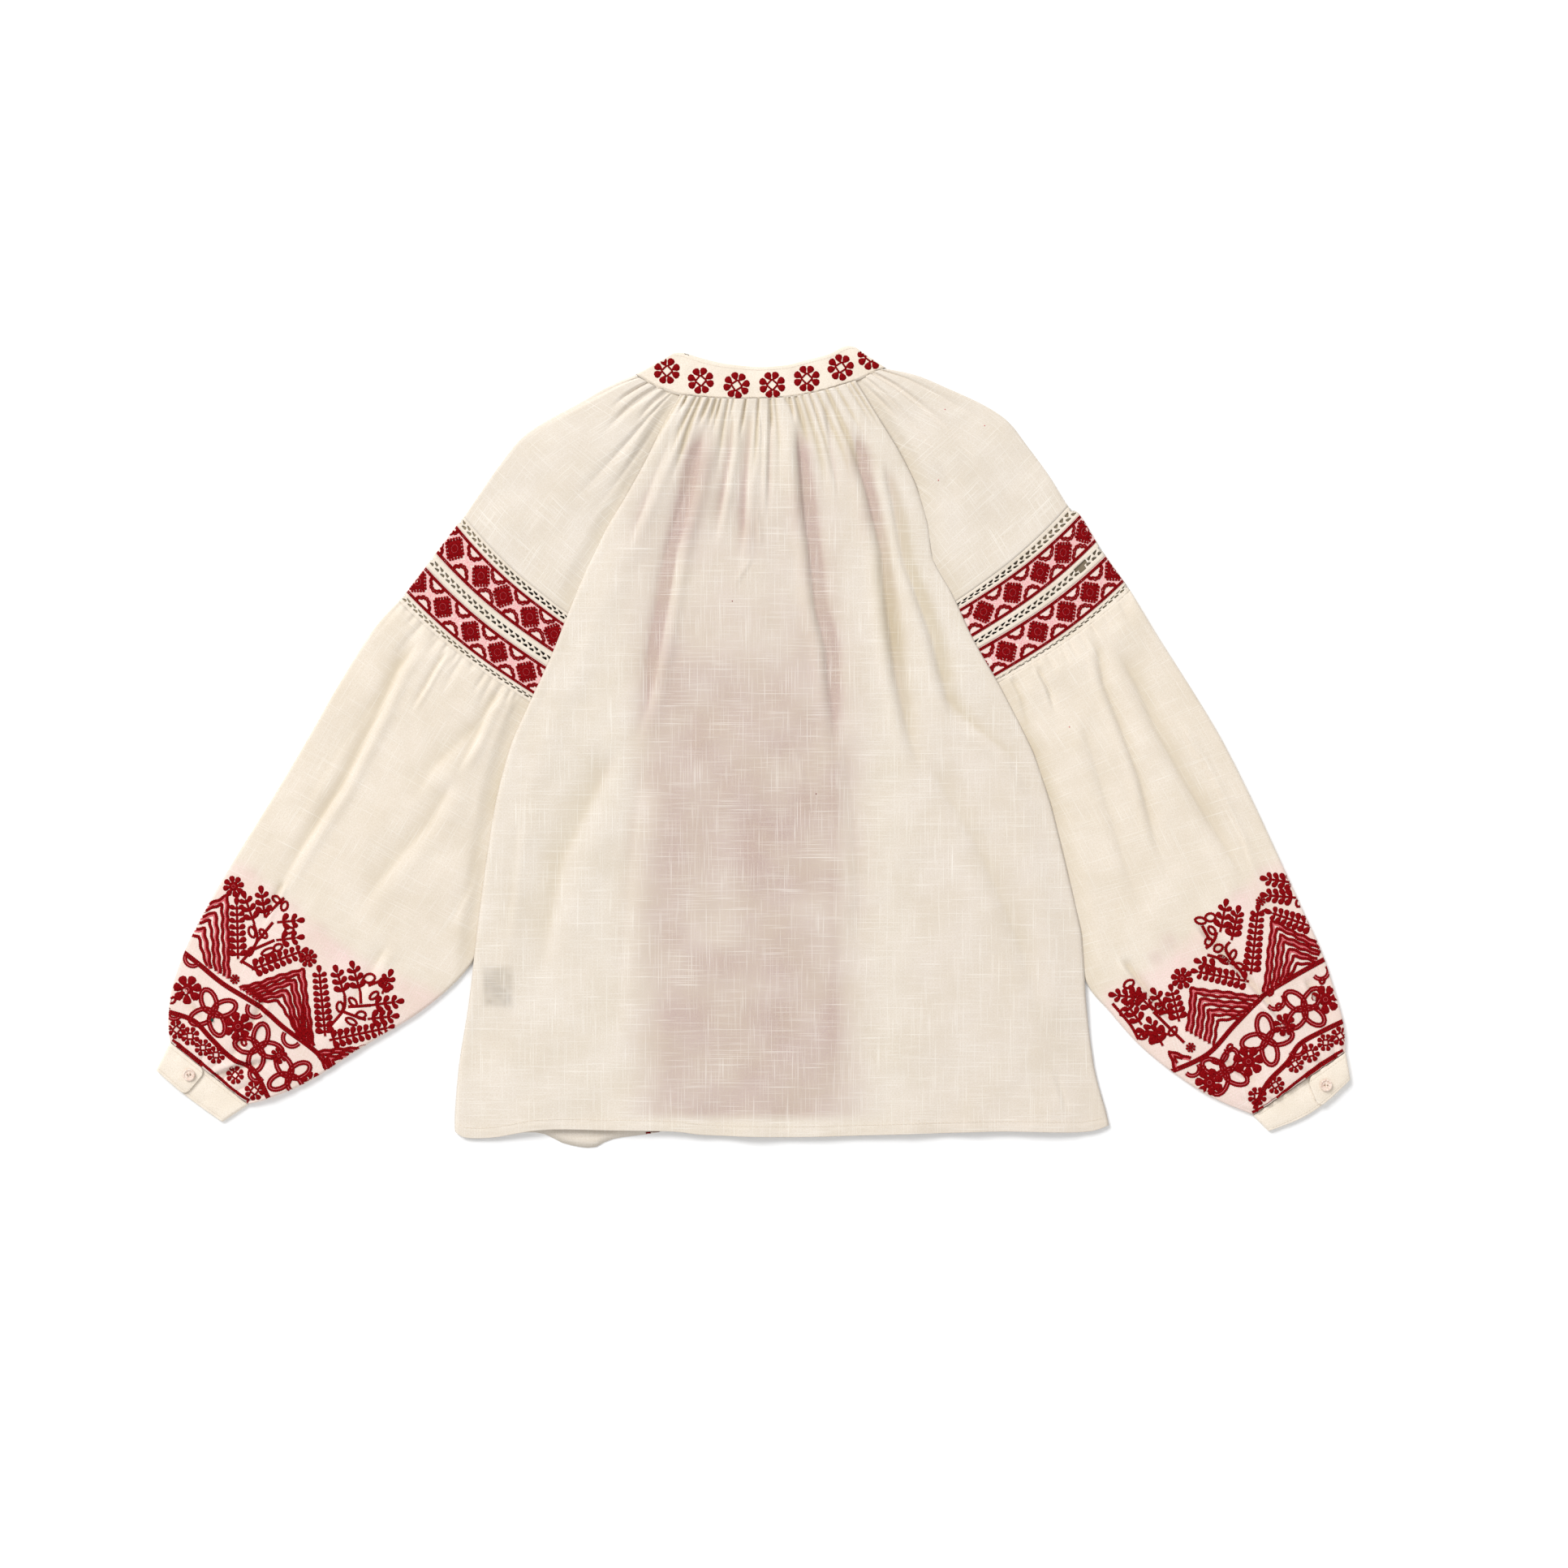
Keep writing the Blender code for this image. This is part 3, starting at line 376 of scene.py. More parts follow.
# Sleeve sections, neck to cuff: outer fold, inner end of the upper layer, of the lower layer if it differs, and puff
sleeves = {
    "left": [(-96.7, 307.0, -52.0, 284.2, -60.5, 268.0, 0.4), (-118.0, 297.0, -62.9, 265.9, -64.5, 262.0, 0.8),
             (-146.0, 281.0, -77.8, 236.0, 1.2), (-173.3, 266.3, -97.2, 201.1, 1.4),
             (-192.0, 252.3, -112.2, 176.1, 1.4), (-209.3, 230.3, -125.5, 150.8, 1.2),
             (-225.3, 207.7, -136.1, 124.1, 1.0), (-237.3, 189.7, -144.1, 104.2, 0.9),
             (-243.3, 183.0, -147.0, 96.6, 0.8), (-260.7, 159.7, -157.4, 73.5, 0.8),
             (-268.7, 149.0, -162.3, 62.0, 0.8), (-284.9, 127.7, -173.2, 39.4, 0.9),
             (-290.6, 120.8, -176.0, 33.0, 1.0), (-312.7, 95.7, -188.0, 5.0, 1.6),
             (-340.7, 51.0, -197.3, -42.3, 2.0), (-369.3, 1.0, -204.0, -92.3, 2.0),
             (-399.3, -49.0, -216.0, -145.7, 2.0), (-425.3, -91.0, -235.3, -182.3, 2.0),
             (-449.3, -132.3, -272.0, -215.7, 2.0), (-466.0, -165.7, -326.0, -249.0, 2.0),
             (-477.3, -199.0, -365.3, -274.3, 1.8), (-480.0, -227.0, -398.7, -288.3, 1.2),
             (-478.3, -241.0, -414.0, -292.3, 0.8)],
    "right": [(109.3, 312.3, 75.8, 297.3, 85.9, 281.0, 0.4), (134.7, 305.7, 89.9, 274.6, 91.5, 272.0, 0.8),
              (160.0, 295.0, 106.6, 247.7, 1.2), (190.0, 281.0, 122.7, 218.2, 1.4),
              (209.3, 267.7, 134.4, 191.3, 1.4), (224.0, 249.0, 139.6, 164.6, 1.2),
              (242.7, 223.7, 148.0, 137.6, 1.0), (258.7, 198.3, 159.1, 115.2, 0.9),
              (268.0, 191.7, 162.9, 110.2, 0.8), (282.0, 169.0, 173.5, 86.9, 0.8), (289.3, 157.7, 177.4, 77.5, 0.8),
              (304.7, 136.3, 191.4, 54.4, 0.9), (309.4, 129.2, 194.3, 49.6, 1.0), (331.3, 93.0, 209.5, 19.5, 1.6),
              (358.0, 51.0, 224.0, -12.3, 2.0), (383.3, 9.0, 232.7, -52.3, 2.0), (408.7, -41.0, 244.0, -92.3, 2.0),
              (432.0, -91.0, 258.0, -139.0, 2.0), (450.7, -132.3, 272.7, -190.7, 2.0),
              (466.0, -165.7, 292.0, -215.7, 2.0), (477.3, -199.0, 322.7, -249.0, 1.8),
              (484.7, -227.0, 368.0, -282.3, 1.2), (486.0, -249.0, 410.0, -301.0, 0.8)],
}
for side, rows in sleeves.items():
    sleeves[side] = [row if len(row) == 7 else row[:4] + row[2:] for row in rows]

# Body sections, neck to hem: left and right edge of the back panel, and the two hems
body = [(-60.0, 288.3, 84.0, 301.0), (-74.0, 264.3, 101.3, 273.0), (-88.0, 235.7, 118.7, 245.0),
        (-104.0, 207.0, 133.3, 216.3), (-120.7, 179.7, 143.3, 184.3), (-136.7, 147.7, 148.0, 154.3),
        (-150.7, 113.0, 163.3, 126.3), (-166.7, 73.0, 181.3, 87.7), (-184.7, 34.3, 202.7, 50.3),
        (-198.7, 2.3, 229.3, -2.3), (-210.7, -42.3, 244.0, -45.7), (-219.3, -95.7, 256.0, -93.7),
        (-226.7, -152.3, 269.3, -152.3), (-233.3, -209.0, 273.3, -209.0), (-241.3, -259.0, 280.0, -262.3),
        (-244.8, -300.0, 289.5, -298.0), (-244.7, -315.0, 292.0, -309.7)]
backHem = [(-244.7, -315.0), (-235.3, -320.0), (-212.0, -319.6), (-172.7, -313.4), (-116.0, -313.8), (-66.0, -314.7),
           (-37.3, -317.7), (27.3, -319.3), (98.7, -317.7), (152.0, -316.1), (205.3, -314.7), (270.0, -315.2),
           (292.0, -309.7)]
frontHem = [(-243.5, -313.5), (-232.0, -317.5), (-212.0, -317.5), (-176.0, -316.0), (-155.3, -324.7),
            (-132.0, -328.3), (-116.0, -321.3), (-85.3, -317.0), (-60.0, -313.5), (0.0, -315.5), (98.7, -315.0),
            (205.3, -312.5), (270.0, -312.5), (290.5, -308.0)]

levels = {
    "flat": 3.2,        # top of a flattened sleeve
    "neckLift": 0.8,    # layers rise over the front half of the neckband
    "bandBack": 3.2,    # underside of the neckband's back half
    "foldReach": 2.4,   # reach of the bend at a folded edge
    "bandFoldIn": 0.22,
    "bandBow": 5.0,     # the sleeve bands hang towards the cuff at their middle
}


def bandSections(layer, count):
    table = backBand if layer == "upper" else frontBand
    places = np.linspace(levels["bandFoldIn"], len(table) - 1 - levels["bandFoldIn"], count)
    return tableAt(table, places)


def neckSeamY(layer, x):
    table = backBand if layer == "upper" else frontBand
    line = np.vstack([table[0][:2], bandSections(layer, 80)[:, :2], table[-1][:2]])
    return np.interp(x, line[:, 0], line[:, 1])


def hemY(hem, x):
    line = tableAt(hem, np.linspace(0.0, len(hem) - 1.0, 240))
    return np.interp(x, line[:, 0], line[:, 1])


def insideBody(side, x, y):
    # how far a place lies inside the back panel's edge, level with it
    rows = np.array(body)
    column = 0 if side == "left" else 2
    edge = np.interp(-y, -rows[:, column + 1], rows[:, column])
    return x - edge if side == "left" else edge - x


# Back panel
backLook = {
    "columns": 232, "rowStep": 3.0, "hemWidth": 9.0, "swell": 2.4, "swellReach": 46.0, "wall": 1.4,
    "hemRows": (12.5, 12.0, 15),  # plain rows stop and fine rows start so far from the hem, and there are so many
    # start, end and spacing run along the seam in mm; reach and widening run away from it
    "neckSeam": 154.0,
    "neckGathers": {"seed": 11, "start": 2.0, "end": 152.0, "spacing": 6.8, "width": 2.9, "widening": 90.0,
                    "depth": 4.4, "reach": 125.0, "stand": 3.0},
    # line in photo pixels, depth and width in mm
    "creases": [
        ([(981, 506), (986, 564), (992, 621), (1002, 698), (1007, 748), (1020, 800), (1026, 882), (1030, 960)],
         4.6, 8.0),
        ([(1050, 518), (1061, 575), (1072, 614), (1088, 679), (1095, 755), (1105, 832), (1122, 916), (1150, 990)],
         4.8, 8.5),
        ([(1088, 560), (1104, 620), (1118, 694), (1149, 782), (1172, 878), (1215, 925)], 4.4, 9.0),
        ([(870, 520), (860, 556), (852, 602), (832, 675), (820, 748), (808, 813), (800, 860), (778, 940)], 4.2, 8.5),
        ([(832, 520), (824, 545), (808, 583), (786, 640), (770, 690)], 2.2, 7.0),
        ([(904, 506), (900, 556), (889, 621), (880, 680)], 2.4, 5.0),
        ([(927, 500), (923, 545), (918, 600), (916, 650), (910, 710)], 2.6, 6.0),
        ([(950, 500), (947, 583), (946, 645)], 1.8, 3.0),
        ([(1017, 490), (1023, 556), (1036, 630)], 1.6, 4.0),
        ([(763, 914), (720, 1000), (690, 1060), (672, 1160), (660, 1260)], 2.2, 20.0),
        ([(790, 930), (769, 1128), (758, 1320)], 1.1, 16.0),
        ([(1139, 930), (1203, 1037), (1256, 1160), (1300, 1300)], 1.6, 14.0),
        ([(1160, 850), (1196, 890), (1246, 930), (1290, 1000)], 2.0, 8.0),
        ([(1299, 1320), (1315, 1376)], 1.2, 2.5),
        ([(1040, 900), (1056, 1060), (1060, 1230)], 0.9, 12.0),
        ([(934, 628), (939, 682)], -0.8, 1.6),
        ([(928, 688), (902, 728)], -0.8, 1.6),
        ([(943, 858), (971, 906), (986, 949), (993, 1080)], -0.6, 1.5),
        ([(700, 760), (672, 850), (650, 900)], 1.0, 7.0),
        ([(640, 1010), (630, 1100), (622, 1180)], 0.8, 6.0),
    ],
    # where the front's reddish embroidery shades the gauze: edges in mm from nothing to full, or full to nothing
    "tintLeft": (-112.0, -62.0), "tintRight": (38.0, 116.0), "tintLow": (-308.0, -297.0), "tintHigh": (170.0, 262.0),
    "patch": [(-224.0, -218.0), (-202.0, -194.0), (-215.0, -208.0), (-184.0, -176.0)],
    # darker spots in the fold valleys, partly the front's embroidery seen through and partly painted shade: place in
    # photo pixels, size in mm and strength
    "tintSpots": [((868, 562), 11.0, 0.5), ((857, 598), 12.0, 0.5), ((846, 646), 10.0, 0.5), ((989, 620), 10.0, 0.5),
                  ((1000, 700), 9.0, 0.5), ((1054, 562), 9.0, 0.45), ((1070, 634), 8.0, 0.45), ((925, 655), 8.0, 0.3)],
    # spots of painted shade along a crease, in photo pixels
    "paintedShadeSpots": [(1085, 705), (1093, 748), (1100, 790)],
}


def backLevel(x, y):
    inner = np.minimum(insideBody("left", x, y), insideBody("right", x, y))
    nearNeck = smooth(150.0, 225.0, y)
    edge = mix(1.7, mix(3.7, 4.5, nearNeck), smooth(-240.0, -205.0, y))
    return mix(edge, mix(1.9, 2.7, nearNeck), smooth(22.0, 46.0, inner)), inner


def backGrid():
    look = backLook
    table = np.array(body)
    centre = (table[:, :2] + table[:, 2:]) / 2.0
    runs = np.concatenate([[0.0], np.cumsum(np.hypot(*np.diff(centre, axis=0).T))])
    total = runs[-1]
    plainEnd, fineStart, fineRows = look["hemRows"]
    run = np.concatenate([np.arange(0.0, total - plainEnd, look["rowStep"]),
                          np.linspace(total - fineStart, total, fineRows)])
    place = np.interp(run, runs, np.arange(len(table)))
    row = tableAt(body, place)[:, None, :]
    share = np.linspace(0.0, 1.0, look["columns"])[None, :]
    share = share + 0.0 * place[:, None]
    x = mix(row[..., 0], row[..., 2], share)
    y = mix(row[..., 1], row[..., 3], share)
    start, end = table[0], table[-1]
    topBow = (np.maximum(0.0, 1.0 - place / 2.5) ** 2)[:, None]
    hemBow = smooth(14.6, 16.0, place)[:, None]
    y = y + topBow * (neckSeamY("upper", mix(start[0], start[2], share)) + 0.3 - mix(start[1], start[3], share))
    y = y + hemBow * (hemY(backHem, mix(end[0], end[2], share)) - mix(end[1], end[3], share))
    return x, y, share, run[:, None] + 0.0 * share, total


def makeBack():
    look = backLook
    x, y, share, run, total = backGrid()
    level, inner = backLevel(x, y)
    drawn = gathers(share * look["neckSeam"], run, look["neckGathers"])
    rise = drawn + look["swell"] * smooth(4.0, look["swellReach"], inner) * smooth(8.0, 60.0, run)
    folds = creased(x, y, look["creases"]) * smooth(2.0, 26.0, inner)
    rise = rise + folds
    rise = rise + 0.55 * softNoise(x, y, 34.0, 3) * smooth(5.0, 30.0, inner)
    rise = rise + 0.16 * softNoise(x, y, 9.0, 5)
    fromHem = total - run
    rise = rise + 0.9 * (softNoise(x, 0.0 * y, 26.0, 8)) * fade(0.0, 40.0, fromHem)
    rise = np.maximum(rise, 0.0)
    hem = 0.45 * fade(look["hemWidth"], look["hemWidth"] + 0.7, fromHem)
    hem = hem - 0.40 * mound(fromHem - look["hemWidth"], -0.8, 0.6)
    hem = hem + 0.18 * softNoise(x, y, 3.0, 9) * mound(fromHem, 7.0, 4.0)
    z = level + look["wall"] + rise + hem - 1.1 * np.exp(-inner / 1.2)
    z = z - 1.3 * np.exp(-inner / 5.0) * smooth(110.0, 150.0, y)
    zone = smooth(*look["tintLeft"], x + 0.10 * np.maximum(y, 40.0)) * fade(*look["tintRight"], x)
    zone = zone * smooth(*look["tintLow"], y) * fade(*look["tintHigh"], y)
    zone = zone * (0.78 + 0.20 * softNoise(x, y, 22.0, 21) + 0.2 * softNoise(x, y, 70.0, 22))
    zone = zone * (1.0 - 0.70 * smooth(10.0, 150.0, y))
    zone = zone + 0.22 * mound(x, 66.0, 6.0) * smooth(-300.0, -220.0, y) * fade(150.0, 210.0, y)
    for pixel, size, strength in look["tintSpots"]:
        zone = zone + strength * spotAt(x, y, pixel, size ** 2, 0.45)
    # slightly darker towards the right of the lower body
    zone = zone + 0.10 * smooth(104.0, 150.0, x) * fade(-20.0, 90.0, y)
    shown = fade(90.0, 135.0, np.abs(x)) * fade(238.0, 285.0, y)
    valley = smooth(0.2, 3.6, -folds)
    gathered = look["neckGathers"]["stand"] * fade(0.1, 1.0, run / look["neckGathers"]["reach"]) - drawn
    # painted shade in the fold valleys, reddish over the front's embroidery and beige elsewhere, and beige in the
    # gathers' valleys
    zone = zone + 0.95 * valley * shown
    hollow = 0.55 * valley * (1.0 - shown) + 0.68 * smooth(0.5, 2.6, gathered)
    # painted shade spots along a crease
    for pixel in look["paintedShadeSpots"]:
        hollow = hollow + 0.40 * spotAt(x, y, pixel, 9.0 ** 2, 0.4)
    left, right, low, high = look["patch"]
    patch = smooth(*left, x) * fade(*right, x)
    patch = patch * smooth(*low, y) * fade(*high, y) * (0.75 + 0.3 * softNoise(x, y, 4.0, 2))
    patch = patch + 0.3 * smooth(134.0, 138.0, x) * fade(146.0, 150.0, x) * mound(y, 214.0, 7.0)
    grain = np.stack([x, y], axis=-1)
    return clothSheet("back_cloth", np.stack([x, y, z], axis=-1), grain,
                      {"seeThrough": np.clip(zone, 0.0, 1.0), "patch": np.clip(patch, 0.0, 1.0),
                       "hollow": np.clip(hollow, 0.0, 1.0)})


backCloth = dress(makeBack(), bodyGauze, "cotton_gauze", "back_panel")
print("back panel made")


# Sleeves
sleeveLook = {
    "puff": 1.7, "headSeam": 52.0, "topSeam": 146.0, "cuffSeam": 88.0,
    # pink is the edge of the stained ground and marks are its stains, in photo pixels
    "left": {
        "headGathers": {"seed": 5, "start": 1.0, "end": 60.0, "spacing": 5.2, "width": 2.4, "widening": 130.0,
                        "depth": 3.5, "reach": 165.0, "stand": 2.6},
        "topGathers": {"seed": 7, "start": 3.0, "end": 160.0, "spacing": 8.5, "width": 4.0, "widening": 60.0,
                       "depth": 2.2, "reach": 46.0, "stand": 1.6},
        "cuffGathers": {"seed": 9, "start": 2.0, "end": 90.0, "spacing": 8.0, "width": 4.0, "widening": 50.0,
                        "depth": 2.4, "reach": 44.0, "stand": 2.0},
        "creases": [
            ([(521, 782), (490, 826), (465, 882), (440, 932), (421, 970), (390, 1017), (365, 1057), (346, 1095),
              (330, 1140)], 3.2, 7.5),
            ([(552, 802), (540, 820), (524, 848), (505, 880)], 2.0, 3.0),
            ([(618, 851), (602, 873), (584, 914), (560, 960)], 2.4, 6.0),
            ([(590, 890), (534, 945), (505, 990)], 1.6, 12.0),
            ([(560, 960), (527, 1017), (496, 1051), (465, 1089), (430, 1140)], 1.8, 12.0),
            ([(470, 850), (420, 920), (370, 1000), (330, 1060)], 1.0, 14.0),
            ([(640, 900), (618, 960), (606, 1030)], 1.8, 9.0),
            ([(480, 1160), (440, 1230), (380, 1290)], 1.6, 7.0),
            ([(600, 1010), (580, 1090), (550, 1150)], 1.2, 8.0),
            ([(330, 1228), (308, 1270), (280, 1318)], 3.0, 4.0),
            ([(250, 1330), (300, 1312), (350, 1304)], 2.6, 3.5),
            ([(222, 1214), (238, 1238), (262, 1270)], 2.4, 3.5),
            ([(352, 1086), (336, 1116), (322, 1146)], 2.4, 3.0),
        ],
        "pink": [(236, 1060), (300, 1066), (345, 1105), (440, 1180), (520, 1215), (580, 1240)],
        "marks": [(311, 1080), (395, 1148), (425, 1178), (408, 1168), (360, 1120)],
    },
    "right": {
        "headGathers": {"seed": 15, "start": 1.0, "end": 60.0, "spacing": 5.6, "width": 2.5, "widening": 130.0,
                        "depth": 3.2, "reach": 165.0, "stand": 2.5},
        "topGathers": {"seed": 17, "start": 3.0, "end": 160.0, "spacing": 8.5, "width": 4.0, "widening": 60.0,
                       "depth": 2.2, "reach": 46.0, "stand": 1.6},
        "cuffGathers": {"seed": 19, "start": 2.0, "end": 95.0, "spacing": 8.5, "width": 4.2, "widening": 50.0,
                        "depth": 2.4, "reach": 44.0, "stand": 2.0},
        "creases": [
            ([(1336, 773), (1352, 802), (1359, 843), (1378, 891), (1403, 958), (1422, 1035), (1445, 1098)], 2.4, 6.0),
            ([(1371, 792), (1400, 843), (1422, 894), (1454, 952), (1492, 1015), (1531, 1079), (1560, 1130)], 2.6, 10.0),
            ([(1276, 822), (1290, 848), (1300, 880)], 2.0, 3.0),
            ([(1244, 834), (1258, 862), (1266, 900)], 2.0, 3.5),
            ([(1448, 885), (1486, 942), (1531, 1031), (1552, 1100)], -1.4, 3.0),
            ([(1250, 880), (1282, 960), (1300, 1040)], 2.0, 8.0),
            ([(1330, 880), (1360, 980), (1390, 1080), (1420, 1150)], 1.3, 9.0),
            ([(1470, 1136), (1515, 1185), (1556, 1230), (1585, 1267), (1594, 1301)], 3.6, 4.5),
            ([(1380, 1180), (1420, 1232), (1462, 1278)], 3.0, 4.0),
            ([(1552, 1236), (1575, 1262), (1592, 1290)], -2.2, 4.0),
            ([(1502, 1302), (1526, 1322), (1556, 1340)], 2.6, 3.5),
            ([(1606, 1206), (1622, 1232), (1642, 1260)], 2.4, 3.5),
        ],
        "pink": [(1352, 1262), (1360, 1222), (1430, 1190), (1500, 1120), (1570, 1065), (1610, 1045)],
        "marks": [(1525, 1106), (1440, 1160), (1452, 1186), (1556, 1076), (1424, 1180)],
    },
}
headEnd, lowerStart, cuffEnd = 7, 12, 22  # rows of the sleeve table; the bands and openwork lie between the first two
sections = np.arange(cuffEnd + 1)
alongSleeve = {}
for side, rows in sleeves.items():
    rows = np.array(rows)
    centre = (rows[:, :2] + rows[:, 2:4]) / 2.0
    alongSleeve[side] = np.concatenate([[0.0], np.cumsum(np.hypot(*np.diff(centre, axis=0).T))])


def alongAt(side, place):
    return np.interp(place, sections, alongSleeve[side])


def stripNumber(first):
    # openwork strips start at rows 7, 9 and 11, bands at rows 8 and 10
    return (first - 5) // 2


def sleeveCreases(side, x, y):
    return creased(x, y, sleeveLook[side]["creases"], -1.0 if side == "left" else 1.0)


def sleeveRise(side, place, share, x, y):
    look = sleeveLook[side]
    run = alongAt(side, place)
    openCloth = fade(-16.0, -2.0, insideBody(side, x, y))
    puff = tableAt(sleeves[side], place)[..., 6]
    rise = sleeveLook["puff"] * puff * np.sin(np.pi * np.clip(share, 0.0, 1.0)) ** 0.7
    head = place <= headEnd
    lower = place >= lowerStart
    fromTop = run - alongSleeve[side][lowerStart]
    fromCuff = alongSleeve[side][cuffEnd] - run
    rise = rise + np.where(head, gathers(share * sleeveLook["headSeam"], run, look["headGathers"]), 0.0)
    top = gathers(share * sleeveLook["topSeam"], np.maximum(fromTop, 0.0), look["topGathers"])
    end = gathers(share * sleeveLook["cuffSeam"], np.maximum(fromCuff, 0.0), look["cuffGathers"])
    rise = rise + np.where(lower, top, 0.0)
    rise = rise + np.where(lower, end, 0.0)
    fullness = smooth(0.0, 25.0, fromTop) * smooth(0.0, 20.0, fromCuff)
    folds = sleeveCreases(side, x, y) + fullness * (1.2 + 0.7 * softNoise(x, y, 36.0, 31))
    rise = rise + np.where(lower, folds, 0.0)
    rise = rise + np.where(head, 0.9 * softNoise(x, y, 30.0, 33) * smooth(20.0, 60.0, run), 0.0)
    rise = rise + 0.15 * softNoise(x, y, 8.0, 35)
    return np.maximum(rise, 0.0) * openCloth


def onSleeve(side, place, across, tube=False, height=0.0):
    # across runs from -1 at the lower layer's inner end, through 0 at the outer fold, to 1 at the upper one's
    place, across = np.broadcast_arrays(np.asarray(place, float), np.asarray(across, float))
    section = tableAt(sleeves[side], place)
    outer, back, front = section[..., :2], section[..., 2:4], section[..., 4:6]
    share = np.abs(across)
    width = np.hypot(*np.moveaxis(outer - back, -1, 0))
    bend = levels["foldReach"] / width
    near = np.minimum(share, 1.0 - share) if tube else share
    turn = np.arccos(np.clip(1.0 - near / bend, 0.0, 1.0))
    upper = 0.5 + 0.5 * np.where(across < 0.0, -1.0, 1.0) * np.sin(turn)
    end = mix(front, back, upper[..., None])
    x, y = np.moveaxis(mix(outer, end, share[..., None]), -1, 0)
    bow = np.maximum(0.0, 1.0 - place / 1.5) ** 2
    if np.any(bow > 0.0):
        first = np.array(sleeves[side][0])
        firstEnd = mix(first[4:6], first[2:4], upper[..., None])
        fx, fy = np.moveaxis(mix(first[:2], firstEnd, share[..., None]), -1, 0)
        easing = 1.4 * fade(0.0, 0.25, share)
        seam = mix(neckSeamY("lower", fx) - 0.2, neckSeamY("upper", fx) + 0.3, upper)
        y = y + bow * (seam - easing - fy)
    bowed = levels["bandBow"] * np.sin(np.pi * share ** 0.9) * smooth(4.5, 7.5, place) * fade(11.5, 15.0, place)
    toCuff = (back - outer) / width[..., None] * (1.0 if side == "left" else -1.0)
    x, y = x + bowed * toCuff[..., 1], y - bowed * toCuff[..., 0]
    lift = levels["neckLift"] * fade(1.1, 2.2, place)
    top = levels["flat"] + lift + sleeveRise(side, place, share, x, y) + height
    under = 0.3 * smooth(16.6, 17.4, place) + np.where((place >= 8.0) & (place <= 11.0), 0.3, 0.0)
    under = under + 0.5 * np.maximum(0.0, softNoise(x, y, 14.0, 37)) - height
    return np.stack([x, y, mix(under, top, upper)], axis=-1), width


def sleeveSheet(name, side, first, last, rowStep, upperSteps, lowerSteps, tube=False, values=None):
    length = alongAt(side, last) - alongAt(side, first)
    run = np.linspace(0.0, length, max(3, int(length / rowStep) + 1)) + alongAt(side, first)
    place = np.interp(run, alongSleeve[side], sections)
    place = place[:, None]
    section = tableAt(sleeves[side], place[:, 0])
    bend = (levels["foldReach"] / np.hypot(section[:, 0] - section[:, 2], section[:, 1] - section[:, 3]))[:, None]
    turns = np.cos(np.linspace(0.0, np.pi / 2.0, 6))
    lowerShares = np.linspace(0.0, 1.0, lowerSteps)[None, :-1]
    upperShares = np.linspace(0.0, 1.0, upperSteps)[None, 1:]
    bent = bend * (1.0 - turns[None, :])              # from the fold to the end of its bend
    if tube:
        across = np.concatenate([-(1.0 - bent)[:, :-1], -mix(1.0 - bend, bend, lowerShares), -bent[:, ::-1],
                                 bent[:, 1:], mix(bend, 1.0 - bend, upperShares),
                                 (1.0 - bent)[:, ::-1][:, 1:-1]], axis=1)
    else:
        across = np.concatenate([-mix(1.0, bend, lowerShares), -bent[:, ::-1], bent[:, 1:],
                                 mix(bend, 1.0, upperShares)], axis=1)
    points, width = onSleeve(side, place, across, tube)
    grain = np.stack([across * width, run[:, None] + 0.0 * across], axis=-1)
    if tube:
        closing = np.stack([width[:, :1], run[:, None]], axis=-1)
        grain = np.concatenate([grain, closing], axis=1)
    values = values(points, place + 0.0 * across, across) if values else None
    return clothSheet(name, points, grain, values, closed=tube, flip=side == "right")


def besideBody(side, points):
    # painted shade on the cloth beside the body's edge, uneven along it
    inner = insideBody(side, points[..., 0], points[..., 1])
    return 0.42 * smooth(-20.0, -1.0, inner) * (0.7 + 0.4 * softNoise(points[..., 0], points[..., 1], 24.0, 81))


def headTints(side):
    return lambda points, place, across: {"hollow": besideBody(side, points)}


def lowerTints(side):
    def tints(points, place, across):
        off, _, _ = nearLine(points[..., 0], points[..., 1], fromPhoto(*sleeveLook[side]["pink"]))
        folds = sleeveCreases(side, points[..., 0], points[..., 1])
        marks = 0.0 * off
        for pixel in sleeveLook[side]["marks"]:
            marks = marks + 0.5 * spotAt(points[..., 0], points[..., 1], pixel, 50.0)
        return {"pinkGround": 0.85 * smooth(-8.0, 8.0, -off) * smooth(16.2, 17.2, place) + 0.5 * marks,
                "seeThrough": 0.7 * marks,
                # painted shade beside the body's edge and in the creases' valleys on the upper layer
                "hollow": besideBody(side, points) + 0.40 * smooth(0.2, 3.0, -folds) * (across > 0.0)}
    return tints


sleeveCloth = {}
for side in ("left", "right"):
    head = sleeveSheet("sleeve_head_cloth_" + side, side, 0.0, headEnd, 2.8, 100, 34, values=headTints(side))
    lower = sleeveSheet("lower_sleeve_cloth_" + side, side, lowerStart, cuffEnd, 2.9, 136, 48, tube=True,
                        values=lowerTints(side))
    dress(head, bodyGauze, "sleeve_gauze", "sleeve_head_" + side)
    dress(lower, sleeveGauze, "sleeve_gauze", "lower_sleeve_" + side)
    sleeveCloth[side] = {"head": head, "lower": lower}
print("sleeves made")


# Openwork strips: a net with two staggered rows of rounded triangular holes, and the tear in one of them
laceLook = {
    "pitch": 6.4, "holes": 7.0, "hole": 0.84, "drop": 1.1, "thickness": 0.6,
    "tear": ("right", 9, 22.0),   # side, first row and mm along the strip
    # dark and light are the painted shade seen through the holes
    "tearReach": 3.6, "dark": "#160d0a", "light": "#a3957d",
}
# how dark the painted shade is under each strip's holes, at the fold and at the body
laceShade = {7: (0.10, 0.95), 9: (0.45, 1.0), 11: (0.05, 0.60)}


